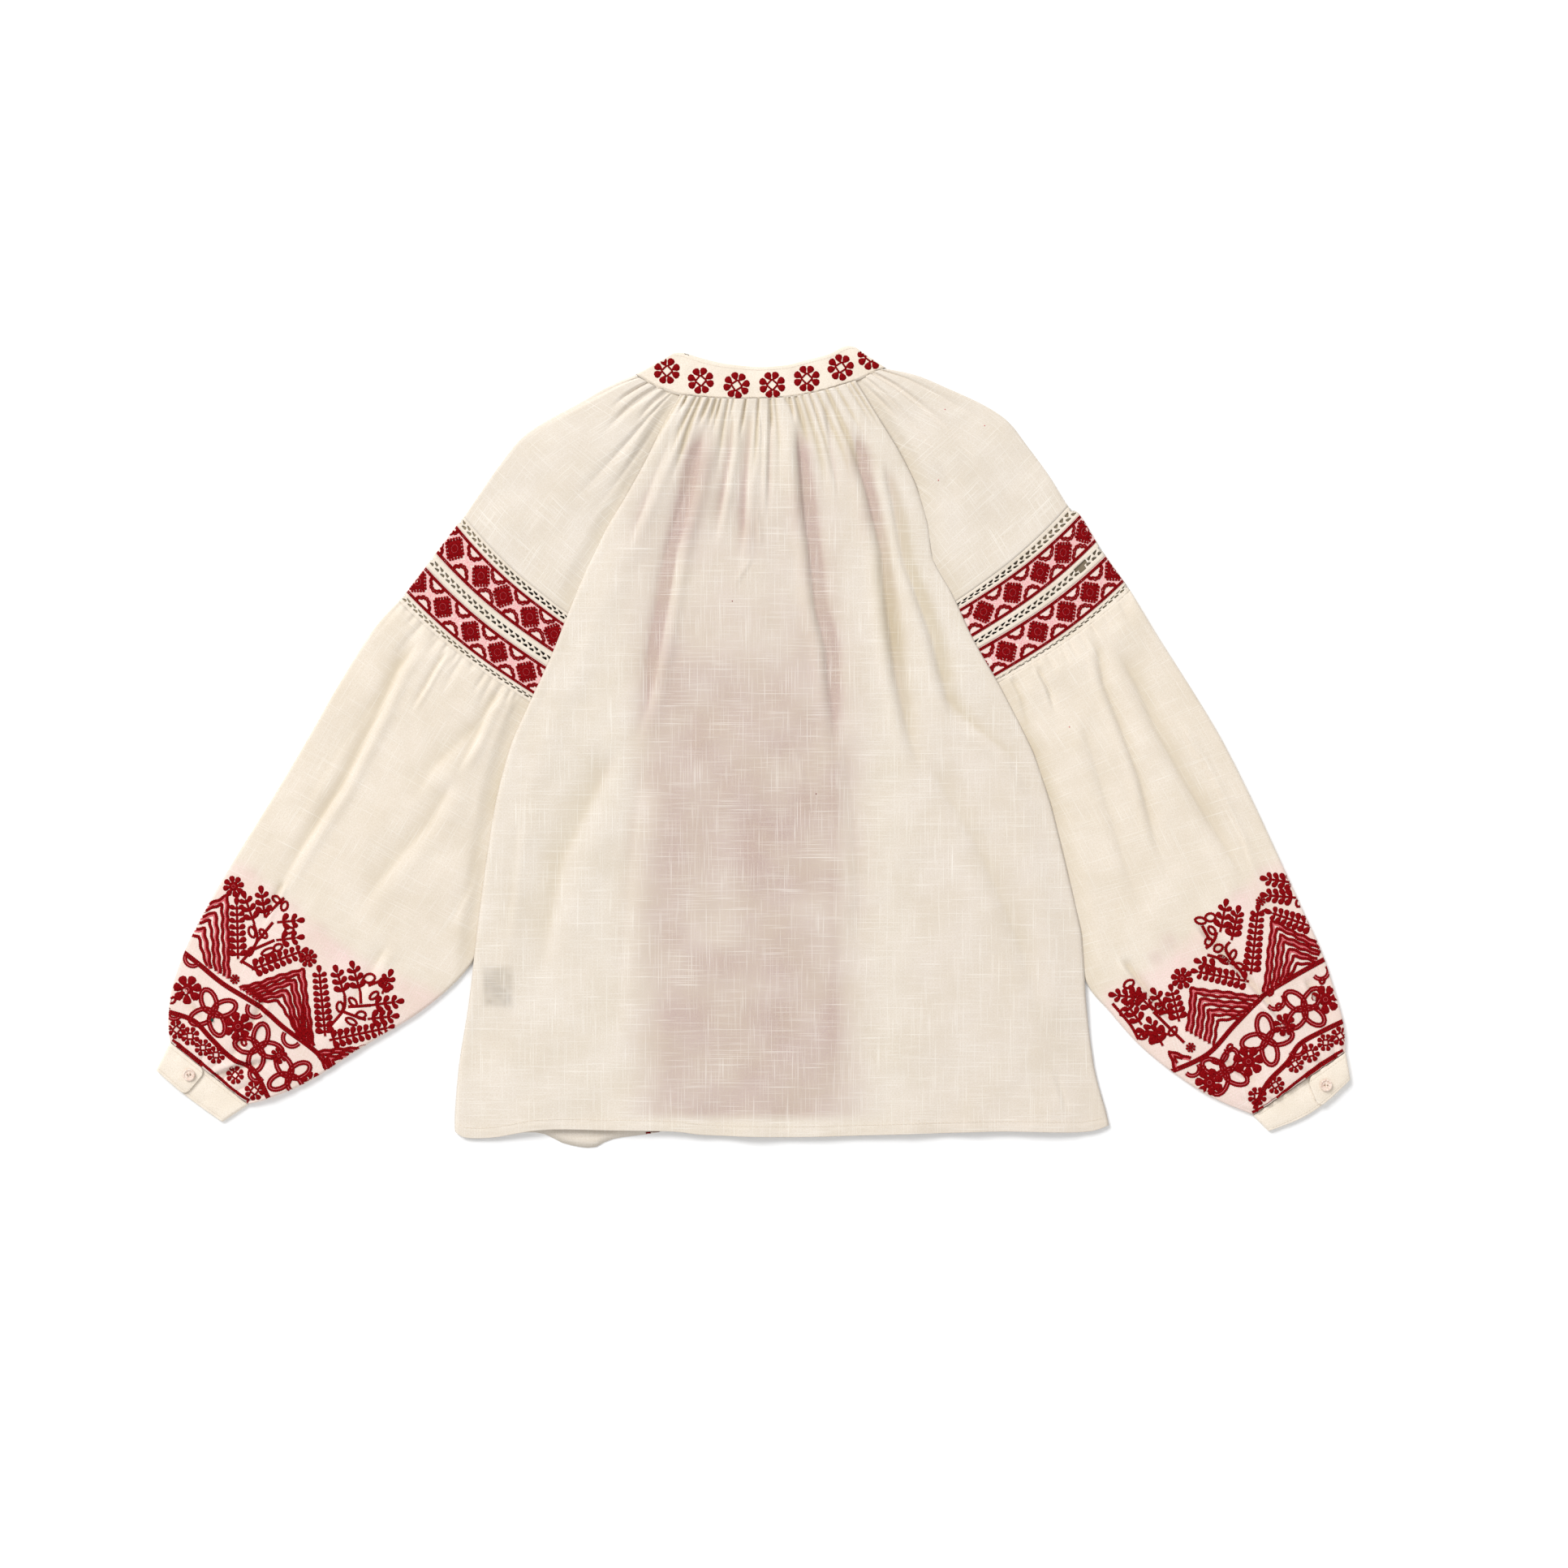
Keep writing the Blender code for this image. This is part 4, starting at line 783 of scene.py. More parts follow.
def laceCell(pointing):
    # one hole in its cell: 16 points round the cell and 16 round the hole, in a square from -1 to 1
    steps = np.linspace(-1.0, 1.0, 5)
    ring = [(s, -1.0) for s in steps[:-1]] + [(1.0, s) for s in steps[:-1]]
    ring += [(s, 1.0) for s in steps[:0:-1]] + [(-1.0, s) for s in steps[:0:-1]]
    ring = np.array(ring)
    angle = np.arctan2(ring[:, 1], ring[:, 0])
    reach = laceLook["hole"] / (1.0 + 0.24 * np.cos(3.0 * (angle - pointing * np.pi / 2.0) + np.pi))
    hole = np.stack([0.80 * np.cos(angle), np.sin(angle)], axis=1) * (reach * (1.0 - 0.12))[:, None]
    hole[:, 0] += 0.28 * hole[:, 1] * pointing
    return ring, hole


def laceStrip(side, first):
    # points as distance along the strip and share of its width, with their faces
    look = laceLook
    section = tableAt(sleeves[side], first + 0.5)
    width = math.dist(section[:2], section[2:4])
    ends = tableAt(sleeves[side], [float(first), first + 1.0])
    deep = 0.5 * (math.dist(ends[0][:2], ends[1][:2]) + math.dist(ends[0][2:4], ends[1][2:4]))
    count = int(round(2.0 * width / look["pitch"]))
    pitch = 2.0 * width / count
    edge = max(0.9, (deep - look["holes"]) / 2.0) / deep
    places, faces, numbers = [], [], {}

    def number(s, t):
        key = (round(s, 4), round(t, 5))
        if key not in numbers:
            numbers[key] = len(places)
            places.append(key)
        return numbers[key]

    for row, pointing in ((0, 1), (1, -1)):
        low, high = mix(edge, 1.0 - edge, row / 2.0), mix(edge, 1.0 - edge, (row + 1) / 2.0)
        for cell in range(count):
            middle = -width + pitch * (cell + 0.5 + 0.5 * row)
            if middle + pitch / 2 > width + 0.01:
                continue
            ring, hole = laceCell(pointing)
            corners = []
            for shape in (ring, hole):
                corners.append([number(middle + s * pitch / 2, mix(low, high, 0.5 + 0.5 * t)) for s, t in shape])
            torn = (side, first) == look["tear"][:2] and abs(middle - look["tear"][2]) < look["tearReach"]
            for k in range(16):
                n = (k + 1) % 16
                if not torn:
                    faces.append((corners[0][k], corners[0][n], corners[1][n], corners[1][k]))
        if row:
            for bottom, top in zip(np.linspace(low, high, 5), np.linspace(low, high, 5)[1:]):
                for end in (-width, width - pitch / 2):
                    other = end + pitch / 2
                    faces.append((number(end, bottom), number(other, bottom), number(other, top), number(end, top)))
    steps = [-width + pitch / 4 * k for k in range(4 * count + 1)]
    for low, high in ((0.0, edge * 0.5), (edge * 0.5, edge), (1.0 - edge, 1.0 - edge * 0.5), (1.0 - edge * 0.5, 1.0)):
        for s, n in zip(steps, steps[1:]):
            faces.append((number(s, low), number(n, low), number(n, high), number(s, high)))
    return np.array(places), faces, width, deep


def makeLace(side, first):
    places, faces, width, deep = laceStrip(side, first)
    across = np.clip(places[:, 0] / width, -1.0, 1.0)
    share = places[:, 1]
    points, _ = onSleeve(side, first + share, across)
    name = "lace_%d_cloth_%s" % (stripNumber(first), side)
    mesh = bpy.data.meshes.new(name)
    if side == "left":
        faces = [face[::-1] for face in faces]
    mesh.from_pydata(toScene(points).tolist(), [], faces)
    grain = mesh.uv_layers.new(name="grain")
    corner = np.array([loop.vertex_index for loop in mesh.loops])
    grain.data.foreach_set("uv", np.stack([places[:, 0], places[:, 1] * deep], axis=1)[corner].ravel())
    piece = newPiece(mesh)
    thicken(piece, laceLook["thickness"])
    return piece


def holeShadeFinish():
    # a dark sheet under the net: painted shade seen through the holes
    material, tree, shader = newMaterial("painted shade under the openwork")
    shade = addNode(tree, "ShaderNodeAttribute", attribute_name="seamShade").outputs["Fac"]
    colour = blended(tree, shade, toLinear(laceLook["light"]), toLinear(laceLook["dark"]))
    tree.links.new(colour, shader.inputs["Base Color"])
    shader.inputs["Roughness"].default_value = 0.95
    shader.inputs["Specular IOR Level"].default_value = 0.1
    return material


# a thin sheet under each net carrying the painted shade seen through its holes
def shadeUnderLace(side, first):
    across, share = np.meshgrid(np.linspace(-0.985, 0.985, 90), np.linspace(0.05, 0.95, 7))
    points, width = onSleeve(side, first + share, across, height=-laceLook["drop"])
    fold, bodyEnd = laceShade[first]
    shade = mix(fold, bodyEnd, smooth(0.05, 0.75, np.abs(across)))
    shade = shade + 0.12 * softNoise(points[..., 0], points[..., 1], 5.0, 71)
    grain = np.stack([across * width, share * 12.0], axis=-1)
    return clothSheet("seam_allowance_%d_%s" % (stripNumber(first), side), points, grain,
                      {"seamShade": np.clip(shade, 0.0, 1.0)}, flip=side == "right", thickness=0.25)


holeShadeMaterial = holeShadeFinish()
for side in ("left", "right"):
    for first in (7, 9, 11):
        dress(shadeUnderLace(side, first), holeShadeMaterial, "openwork_lace")
        node = "lace_%d_%s" % (stripNumber(first), side)
        nodes = [node, node + "_under"] if (side, first) == laceLook["tear"][:2] else [node]
        dress(makeLace(side, first), sleeveGauze, "openwork_lace", *nodes)
    for first in (8, 10):
        band = sleeveSheet("band_%d_cloth_%s" % (stripNumber(first), side), side, first, first + 1, 2.4, 60, 30,
                           values=lambda points, place, across: {"pinkGround": 1.0})
        dress(band, sleeveGauze, "embroidered_band", "band_%d_%s" % (stripNumber(first), side))
print("bands and openwork made")


# Front panel, underneath: plain gauze with the neck slit at its middle
frontLook = {
    "slitX": 6.0, "slitWidth": 3.0, "slitLength": 120.0, "columns": 71, "rows": 100,
    "seamEnds": [(-60.5, 268.0), (85.9, 281.0)], "hemEnds": (-313.5, -308.0), "gathered": (170.0, 580.0),
    "highest": 0.9,
}


def frontEdge(side, y):
    rows = np.array(sleeves[side])
    sign = 1.0 if side == "left" else -1.0
    beside = np.interp(-y, -rows[:18, 5], rows[:18, 4]) * sign + 0.8
    inner = insideBody(side, np.zeros(y.shape), y)
    own = (-inner if side == "left" else inner) * sign + 0.9
    return sign * np.maximum(beside, own)


def makeFront():
    look = frontLook
    share = np.linspace(0.0, 1.0, look["rows"])[:, None]
    leftY, rightY = [mix(seam[1], hem, share) for seam, hem in zip(look["seamEnds"], look["hemEnds"])]
    leftX, rightX = frontEdge("left", leftY), frontEdge("right", rightY)
    half = look["columns"] // 2
    slit = look["slitX"]
    leftPart = mix(leftX, slit - look["slitWidth"] / 2, np.linspace(0.0, 1.0, half)[None, :])
    rightPart = mix(slit + look["slitWidth"] / 2, rightX, np.linspace(0.0, 1.0, half)[None, :])
    x = np.concatenate([leftPart, rightPart], axis=1)
    across = (x - leftX) / (rightX - leftX)
    y = mix(leftY, rightY, across)
    firstX = x[:1]
    topBow = np.maximum(0.0, 1.0 - share / 0.5) ** 2
    y = y + topBow * (neckSeamY("lower", firstX) - 0.8 - y[:1])
    y = y + smooth(0.9, 1.0, share) * (hemY(frontHem, x) - y[-1:])
    z = 0.55 * np.maximum(0.0, softNoise(x, y, 24.0, 41)) + 0.35 * np.maximum(0.0, softNoise(x, y, 60.0, 42))
    width, length = look["gathered"]
    z = z + 0.5 * gathers(across * width, share * length, dict(backLook["neckGathers"], seed=44))
    z = np.clip(z, 0.0, look["highest"]) * smooth(0.0, 0.02, 1.0 - share)
    rows, columns = x.shape
    keep = np.ones((rows - 1, columns - 1), bool)
    keep[:, half - 1] = y[1:, half - 1] < y[0, half - 1] - look["slitLength"]
    return clothSheet("front_cloth", np.stack([x, y, z], axis=-1), np.stack([x, y], axis=-1), keep=keep, flip=True)


frontCloth = dress(makeFront(), bodyGauze, "cotton_gauze", "front_panel")


# Neckband: one folded strip from the slit round the back and again to the slit
bandLook = {"wall": 2.0, "puff": 0.35}


def makeNeckband():
    wall = bandLook["wall"]
    front = bandSections("lower", 70)
    edges = (frontLook["slitX"] - 1.5, frontLook["slitX"] + 1.5)
    leftEnd = [row for row in front if row[0] < edges[0] - 1.0]
    rightEnd = [row for row in front if row[0] > edges[1] + 1.0]
    for end, edge in ((leftEnd, edges[0]), (rightEnd, edges[1])):
        line = np.array(front)
        end.insert(len(end) if edge == edges[0] else 0, np.array(
            [np.interp(edge, line[:, 0], line[:, column]) if column else edge for column in range(4)]))
    stations = [(row, -90.0) for row in reversed(leftEnd)]
    stations += [(np.array(backBand[0]), turn) for turn in (-60.0, -30.0, 0.0, 30.0, 60.0)]
    stations += [(row, 90.0) for row in bandSections("upper", 120)]
    stations += [(np.array(backBand[-1]), turn) for turn in (60.0, 30.0, 0.0, -30.0, -60.0)]
    stations += [(row, -90.0) for row in reversed(rightEnd)]
    thick = levels["bandBack"] + wall
    run, rows, grain = 0.0, [], []
    shares = np.concatenate([np.linspace(0.0, 0.97, 12), [0.992, 1.0, 0.992], np.linspace(0.97, 0.0, 8)])
    faceShare = np.concatenate([np.ones(12), [0.8, 0.5, 0.2], np.zeros(8)])  # 1 on the outside, 0 on the inside
    previous = None
    for row, turn in stations:
        side = -1.0 if row[0] < 6.0 else 1.0
        angle = math.radians(turn)
        middle = thick / 2.0
        inward = middle * (1.0 - math.cos(angle)) if abs(turn) < 90.0 else 0.0
        seam, top = row[:2], row[2:4]
        place = seam[None, :] + (top - seam)[None, :] * shares[:, None]
        reach = mix(middle - wall, middle, faceShare)
        if abs(turn) < 90.0:
            place = place - np.array([[side, 0.0]]) * (middle - reach * math.cos(angle))[:, None]
            place = place + np.array([[0.0, -0.8]]) * math.cos(angle)
        z = middle + reach * math.sin(angle)
        if previous is not None:
            run += math.dist(previous, seam)
        previous = seam
        puff = bandLook["puff"] * np.sin(np.pi * np.clip(shares, 0.0, 1.0)) * faceShare
        if turn > 89.0:
            z = z + puff * (1.0 + softNoise(place[:, 0], place[:, 1], 9.0, 51))
            z = z + 0.12 * softNoise(place[:, 0], place[:, 1], 2.4, 52)
        rows.append(np.column_stack([place, z]))
        grain.append(np.column_stack([np.full(len(shares), run), shares * 27.0 + (faceShare < 0.5) * 60.0]))
    points = np.array(rows)
    grain = np.array(grain)
    grain = np.concatenate([grain, grain[:, :1]], axis=1)
    return clothSheet("neckband_cloth", points, grain, closed=True, thickness=0.0)


neckband = dress(makeNeckband(), cuffCotton, "neckband_cotton", "neckband")
print("front and neckband made")


# Cuffs: a strip wound once round, with its rounded tab on top
cuffLook = {
    "wall": 1.6, "gap": 0.3, "corner": 6.0, "stitchRows": (0.12, 0.90),
    "left": {"seam": [(-478.3, -241.4), (-414.2, -292.9)], "hem": [(-489.8, -264.3), (-435.6, -307.0)],
             "bulge": 1.5, "tab": 0.46, "button": (-462.3, -268.1)},
    "right": {"seam": [(486.2, -249.6), (410.2, -301.6)], "hem": [(490.0, -272.0), (423.0, -314.5)],
              "bulge": 6.0, "tab": 0.42, "button": (469.6, -276.6)},
}


def cuffPlace(side, across, down):
    look = cuffLook[side]
    seam, hem = np.array(look["seam"]), np.array(look["hem"])
    top = mix(seam[0], seam[1], across[..., None])
    bottom = mix(hem[0], hem[1], across[..., None])
    length = np.hypot(*np.moveaxis(bottom - top, -1, 0))
    bulge = look["bulge"] * np.sin(np.pi * np.clip(across, 0.0, 1.0)) * down / length
    return mix(top, bottom, (down + bulge)[..., None]), length


def makeCuff(side):
    look = cuffLook[side]
    wall, gap, corner = cuffLook["wall"], cuffLook["gap"], cuffLook["corner"]
    width = math.dist(*look["seam"])
    bend = 2.6 / width
    high, tab = 2 * wall + gap, 3 * wall + 2 * gap
    turn = np.linspace(0.0, np.pi, 9)[1:-1]
    cornerTurn = np.radians(np.linspace(10.0, 90.0, 7))
    across = [np.linspace(6.0 / width, 1.0 - bend, 30), 1.0 - bend * (1.0 - np.sin(turn)),
              np.linspace(1.0 - bend, bend, 30), bend * (1.0 - np.sin(turn)),
              np.linspace(bend, look["tab"] - corner / width, 16),
              look["tab"] - corner / width * (1.0 - np.sin(cornerTurn))]
    z = [np.full(30, high), high / 2 * (1.0 + np.cos(turn)), np.zeros(30), tab / 2 * (1.0 - np.cos(turn)),
         np.full(16, tab), np.full(7, tab)]
    inset = [np.zeros(30 + 7 + 30 + 7 + 16), corner * (1.0 - np.cos(cornerTurn)) * 0.9]
    across, z, inset = np.concatenate(across), np.concatenate(z), np.concatenate(inset)
    _, length = cuffPlace(side, across, np.zeros(across.shape))
    shares = np.array([0.0, 0.02, 0.05, 0.1, 0.16, 0.24, 0.34, 0.45, 0.56, 0.67, 0.77, 0.85, 0.91, 0.96, 0.985, 1.0])
    shares = shares[:, None]
    down = mix(inset / length, 1.0 - inset / length, shares)
    place, _ = cuffPlace(side, across + 0.0 * down, down)
    facing = np.where(z > high / 2, 1.0, -1.0) * np.where((z > 0.2) & (z < high - 0.2), 0.4, 1.0)
    edge = 0.35 * (np.exp(-shares / 0.02) + np.exp(-(1.0 - shares) / 0.02))
    lumps = 0.25 * softNoise(place[..., 0], place[..., 1], 7.0, 61)
    lumps = lumps + 0.12 * softNoise(place[..., 0], place[..., 1], 2.5, 62)
    stitched = -0.35 * sum(mound(shares, row, 0.025) for row in cuffLook["stitchRows"])
    up = np.where(facing > 0.0, facing * (lumps + stitched + 0.5 * np.sin(np.pi * shares)) - edge, edge)
    points = np.concatenate([place, (z + up)[..., None]], axis=-1)
    points[..., 2] = np.maximum(points[..., 2], 0.0)
    run = np.concatenate([[0.0], np.cumsum(np.abs(np.diff(across)) * width)])
    grain = np.stack([run + 0.0 * down, down * 26.0], axis=-1)
    return clothSheet("cuff_cloth_" + side, points, grain, flip=side == "right", thickness=1.1)


buttonLook = {"light": "#f3e3d6", "dark": "#dcbfae", "threadReach": 1.3}


def pearlyResin():
    # cast polyester button: milky, glossy, with faint pearl clouds
    material, tree, shader = newMaterial("cast pearl resin")
    place = addNode(tree, "ShaderNodeTexCoord").outputs["Object"]
    clouds = addNode(tree, "ShaderNodeTexNoise", {"Vector": place, "Scale": 420.0, "Detail": 3.0, "Distortion": 1.2})
    ramp = addNode(tree, "ShaderNodeValToRGB", {"Fac": clouds.outputs[0]})
    ramp.color_ramp.elements[0].position, ramp.color_ramp.elements[0].color = 0.35, toLinear(buttonLook["dark"])
    ramp.color_ramp.elements[1].position, ramp.color_ramp.elements[1].color = 0.65, toLinear(buttonLook["light"])
    tree.links.new(ramp.outputs[0], shader.inputs["Base Color"])
    shader.inputs["Roughness"].default_value = 0.22
    shader.inputs["IOR"].default_value = 1.56
    shader.inputs["Coat Weight"].default_value = 0.4
    return material


for side in ("left", "right"):
    sleeveCloth[side]["cuff"] = dress(makeCuff(side), cuffCotton, "cuff_cotton", "cuff_" + side)
print("cuffs made")


# Embroidery: raised threads and padded shapes, worked as (x, y, height) in mm and then laid on the finished cloth
threadLook = {
    "red": "#90050c", "redShade": "#420002", "pink": "#dc7378", "pinkShade": "#b03a42",
    "lattice": "#e0a3a1", "latticeShade": "#f4d5d2", "cream": "#f0e5d5", "creamShade": "#c6b59f",
    "green": "#1f4a3d", "greenShade": "#10302a", "label": "#3a3432", "labelShade": "#221d1c",
    "stitch": 1.5,       # mm, one stitch of the chain rows
    "strand": 0.3,       # mm; the real strands are 0.2 mm, drawn coarser to show
    "roughness": 0.7, "gloss": 0.05, "relief": 0.45,
}


def cottonThread(name, base, shade):
    # mercerised stranded cotton: a soft gloss along the strands, and painted shade in the low places between strands
    # and stitches (on the lattice thread the low places are paler instead)
    look = threadLook
    material, tree, shader = newMaterial(name)
    grain = addNode(tree, "ShaderNodeUVMap", uv_map="grain").outputs["UV"]
    strands = addNode(tree, "ShaderNodeMapping", {"Vector": grain, "Scale": (
        1.0 / (4.0 * look["strand"]), 1.0 / look["strand"], 1.0)})
    strands = clouded(tree, strands.outputs[0])
    height = calculated(tree, "ADD", strands, clouded(tree, grain, 1.0 / look["stitch"], 2.0))
    mixed = blended(tree, ranged(tree, height, 0.78, 1.12, 0.85, 0.0), toLinear(base), toLinear(shade))
    tree.links.new(mixed, shader.inputs["Base Color"])
    bump = addNode(tree, "ShaderNodeBump", {"Height": height, "Strength": look["relief"], "Distance": 0.0003})
    tree.links.new(bump.outputs[0], shader.inputs["Normal"])
    shader.inputs["Roughness"].default_value = look["roughness"]
    shader.inputs["Specular IOR Level"].default_value = look["gloss"]
    return material


threads = {kind: cottonThread(name, threadLook[kind], threadLook[kind + "Shade"]) for kind, name in (
    ("red", "dark red stranded cotton"), ("pink", "pink stranded cotton"), ("lattice", "pale pink stranded cotton"),
    ("cream", "cream sewing cotton"), ("green", "dark green glass"), ("label", "dark label thread"))}


def paddedDisc(count):
    # a low padded shape made as by hand: rim on the cloth, raised shoulder and a crown
    bpy.ops.object.select_all(action="DESELECT")
    bpy.ops.mesh.primitive_circle_add(vertices=count, radius=1.0, fill_type="NGON")
    disc = bpy.context.active_object
    bpy.ops.object.mode_set(mode="EDIT")
    bpy.ops.mesh.select_all(action="SELECT")
    bpy.ops.mesh.inset(thickness=0.28)
    bpy.ops.transform.translate(value=(0.0, 0.0, 1.0))
    bpy.ops.mesh.poke()
    bpy.ops.object.mode_set(mode="OBJECT")
    points = np.array([corner.co[:] for corner in disc.data.vertices])
    faces = [tuple(face.vertices) for face in disc.data.polygons]
    bpy.data.objects.remove(disc)
    return points, faces


petalDisc, squareDisc = paddedDisc(10), paddedDisc(48)


def petal(length, width, base=0.45):
    def outline(angle):
        ahead = 0.5 + 0.5 * np.cos(angle)
        return np.stack([length * ahead, 0.67 * width * np.sin(angle) * ahead ** base], axis=1), (0.55 * length, 0.0)
    return outline


def scallopedSquare(side):
    def outline(angle):
        reach = 0.5 * side / np.maximum(np.abs(np.cos(angle)), np.abs(np.sin(angle)))
        along = np.where(np.abs(np.cos(angle)) > np.abs(np.sin(angle)), np.tan(angle), 1.0 / np.tan(angle + 1e-6))
        reach = reach * (1.0 + 0.07 * np.cos(6.0 * np.pi * (along + 1.0) / 2.0 + np.pi))
        return np.stack([reach * np.cos(angle), reach * np.sin(angle)], axis=1), (0.0, 0.0)
    return outline


def turnedTo(centre, heading, x, y):
    c, s = math.cos(heading), math.sin(heading)
    return centre[0] + c * x - s * y, centre[1] + s * x + c * y


def pad(centre, outline, height=0.5, turn=0.0, disc=petalDisc):
    points, faces = disc
    rim, middle = outline(np.arctan2(points[:, 1], points[:, 0]))
    place = mix(np.array([middle]), rim, np.hypot(points[:, 0], points[:, 1])[:, None])
    c, s = math.cos(turn), math.sin(turn)
    turned = place @ np.array([[c, s], [-s, c]]) + np.asarray(centre)
    level = mix(-0.1, height, points[:, 2])
    return np.column_stack([turned, level]), faces, place


def evenly(path, step):
    path = np.asarray(path, float)
    runs = np.concatenate([[0.0], np.cumsum(np.hypot(*np.diff(path, axis=0).T))])
    run = np.linspace(0.0, runs[-1], max(2, int(round(runs[-1] / step))) + 1)
    return np.stack([np.interp(run, runs, path[:, 0]), np.interp(run, runs, path[:, 1])], axis=1), run


def leftOf(line):
    ahead = np.gradient(line, axis=0)
    ahead = ahead / np.maximum(np.hypot(*ahead.T), 1e-9)[:, None]
    return np.stack([-ahead[:, 1], ahead[:, 0]], axis=1)


def beside(line, distance):
    return line + leftOf(line) * np.broadcast_to(distance, len(line))[:, None]


def thread(path, width=0.9, height=0.5, step=0.8):
    # a row of chain stitches, wide and narrow in turn, as a low arch
    line, run = evenly(path, step)
    swell = 1.0 + 0.16 * (-1.0) ** np.arange(len(line))
    across, level = (-0.5, 0.0, 0.5), (-0.1, 1.0, -0.1)
    if width >= 1.6:
        across, level = (-0.5, -0.3, 0.3, 0.5), (-0.1, 0.9, 0.9, -0.1)
    reach = np.array(across)[None, :] * width * swell[:, None]
    points = line[:, None, :] + leftOf(line)[:, None, :] * reach[..., None]
    heights = np.array(level)[None, :] * height * swell[:, None]
    count = len(across)
    grid = np.arange(len(line) * count).reshape(-1, count)
    faces = np.stack([grid[:-1, :-1], grid[1:, :-1], grid[1:, 1:], grid[:-1, 1:]], axis=-1).reshape(-1, 4)
    uv = np.stack([run[:, None] + 0.0 * heights, np.array(across)[None, :] * width + 0.0 * heights], axis=-1)
    faces = [tuple(face) for face in faces.tolist()]
    return np.column_stack([points.reshape(-1, 2), heights.ravel()]), faces, uv.reshape(-1, 2)


def rounded(path, detail=6):
    return tableAt(path, np.linspace(0.0, len(path) - 1.0, detail * (len(path) - 1) + 1))


def newBook():
    return {kind: [] for kind in threads}


def chainLine(book, path, width=2.6):
    line, _ = evenly(path, 1.0)
    for side in (-0.25, 0.25):
        book["red"].append(thread(beside(line, side * width), 0.58 * width, 0.55))


def edged(book, path, width, redWidth):
    line, _ = evenly(path, 0.9)
    book["pink"].append(thread(line, width, 0.4, step=0.9))
    for side in (-1.0, 1.0):
        book["red"].append(thread(beside(line, side * (width / 2 + 0.25 * redWidth)), redWidth, 0.6))


def roundPad(radius):
    return lambda angle: (radius * np.stack([np.cos(angle), np.sin(angle)], axis=1), (0.0, 0.0))


def flower(book, centre, size, turn=0.3, petals=8, ring=True):
    size = size / 2.0
    book["red"].append(pad(centre, roundPad(0.5 * size), 0.6))
    for k in range(petals):
        angle = turn + 2.0 * math.pi * k / petals
        start = np.array(centre) + 0.22 * size * np.array([math.cos(angle), math.sin(angle)])
        book["red"].append(pad(start, petal(0.88 * size, 5.0 / petals * size, 0.6), 0.7, angle))
    if ring:
        ringPoints = np.array([(math.cos(a), math.sin(a)) for a in np.linspace(0.0, 2.0 * math.pi, 13)])
        book["pink"].append(thread(np.array(centre) + 0.16 * size * ringPoints, 0.7, 0.9, step=0.6))


def squareFlower(book, centre, size, turn=0.0):
    # two petals on each side of a small open square
    half = 0.155 * size
    corners = [(half, half), (-half, half), (-half, -half), (half, -half)]
    book["red"].append(thread([turnedTo(centre, turn, *corner) for corner in corners + corners[:1]], 1.7, 0.5))
    for k in range(8):
        side, lean = (k // 2) * math.pi / 2.0, (k % 2 - 0.5) * 0.62
        start = turnedTo(centre, turn, *turnedTo((0.0, 0.0), side, half, (k % 2 - 0.5) * 1.15 * half))
        book["red"].append(pad(start, petal(0.36 * size, 0.30 * size, 0.5), 0.7, turn + side + lean))


def fern(book, start, end, leaf=8.8, spacing=4.9, width=0.66, lean=1.15):
    start, end = np.array(start, float), np.array(end, float)
    ahead = end - start
    length = math.hypot(*ahead)
    heading = math.atan2(ahead[1], ahead[0])
    book["red"].append(thread([start, end], 2.3, 0.5))
    count = max(2, int(length / spacing))
    for k in range(count):
        share = (k + 0.5) / count
        size = leaf * (1.0 - 0.25 * share)
        for side in (-1.0, 1.0):
            book["red"].append(pad(start + ahead * share, petal(size, width * size, 0.5), 0.6, heading + side * lean))
    book["red"].append(pad(end - 0.5 * ahead / length, petal(0.9 * leaf, 0.55 * leaf, 0.5), 0.6, heading))


def sprig(book, start, end):
    fern(book, start, end, leaf=9.4, spacing=5.4, width=0.60, lean=0.85)


def outlineLeaf(book, centre, heading, length, width):
    ring = []
    for angle in np.linspace(0.0, 2.0 * math.pi, 15)[:-1]:
        x, y = 0.5 * length * math.cos(angle), 0.5 * width * math.sin(angle) * abs(math.sin(angle)) ** 0.3
        ring.append(turnedTo(centre, heading, x, y))
    book["red"].append(thread(ring + ring[:1], 2.4, 0.5))


def knot(book, centre, size, turn, loops=4):
    # loops of a pink chain between dark outlines, crossing at the middle
    for k in range(loops):
        heading = turn + 2.0 * math.pi * k / loops
        ring = []
        for share in np.linspace(0.0, 1.0, 15):
            angle = math.pi * (2.0 * share - 1.0)
            x, y = 0.5 * size * (1.0 + math.cos(angle)), 0.30 * size * math.sin(angle)
            ring.append(turnedTo(centre, heading, x, y))
        edged(book, ring, 1.2, 2.1)


def chevron(book, outer, inner, count=7):
    # nested wavy angles, dark, with a pink chain beside every second
    outer, inner = np.array(outer), np.array(inner)
    for number in range(count):
        line, run = evenly(mix(outer, inner, number / (count - 1.0)), 1.0)
        wave = 0.45 * np.sin(run / 1.7) + 0.3 * np.sin(run / 4.9 + 1.1)
        book["red"].append(thread(beside(line, wave), 2.9, 0.6))
        if number % 2 == 0 and number < count - 1:
            book["pink"].append(thread(beside(line, wave - 1.9), 1.6, 0.4, step=1.2))


def stitches(path, length=1.9, gap=0.9, width=0.55, height=0.35):
    line, run = evenly(path, 0.5)
    done = []
    for start in np.arange(0.0, run[-1] - length, length + gap):
        share = np.array([start, start + length / 2, start + length])
        dash = np.stack([np.interp(share, run, line[:, 0]), np.interp(share, run, line[:, 1])], axis=1)
        done.append(thread(dash, width, height, step=length / 2))
    return done


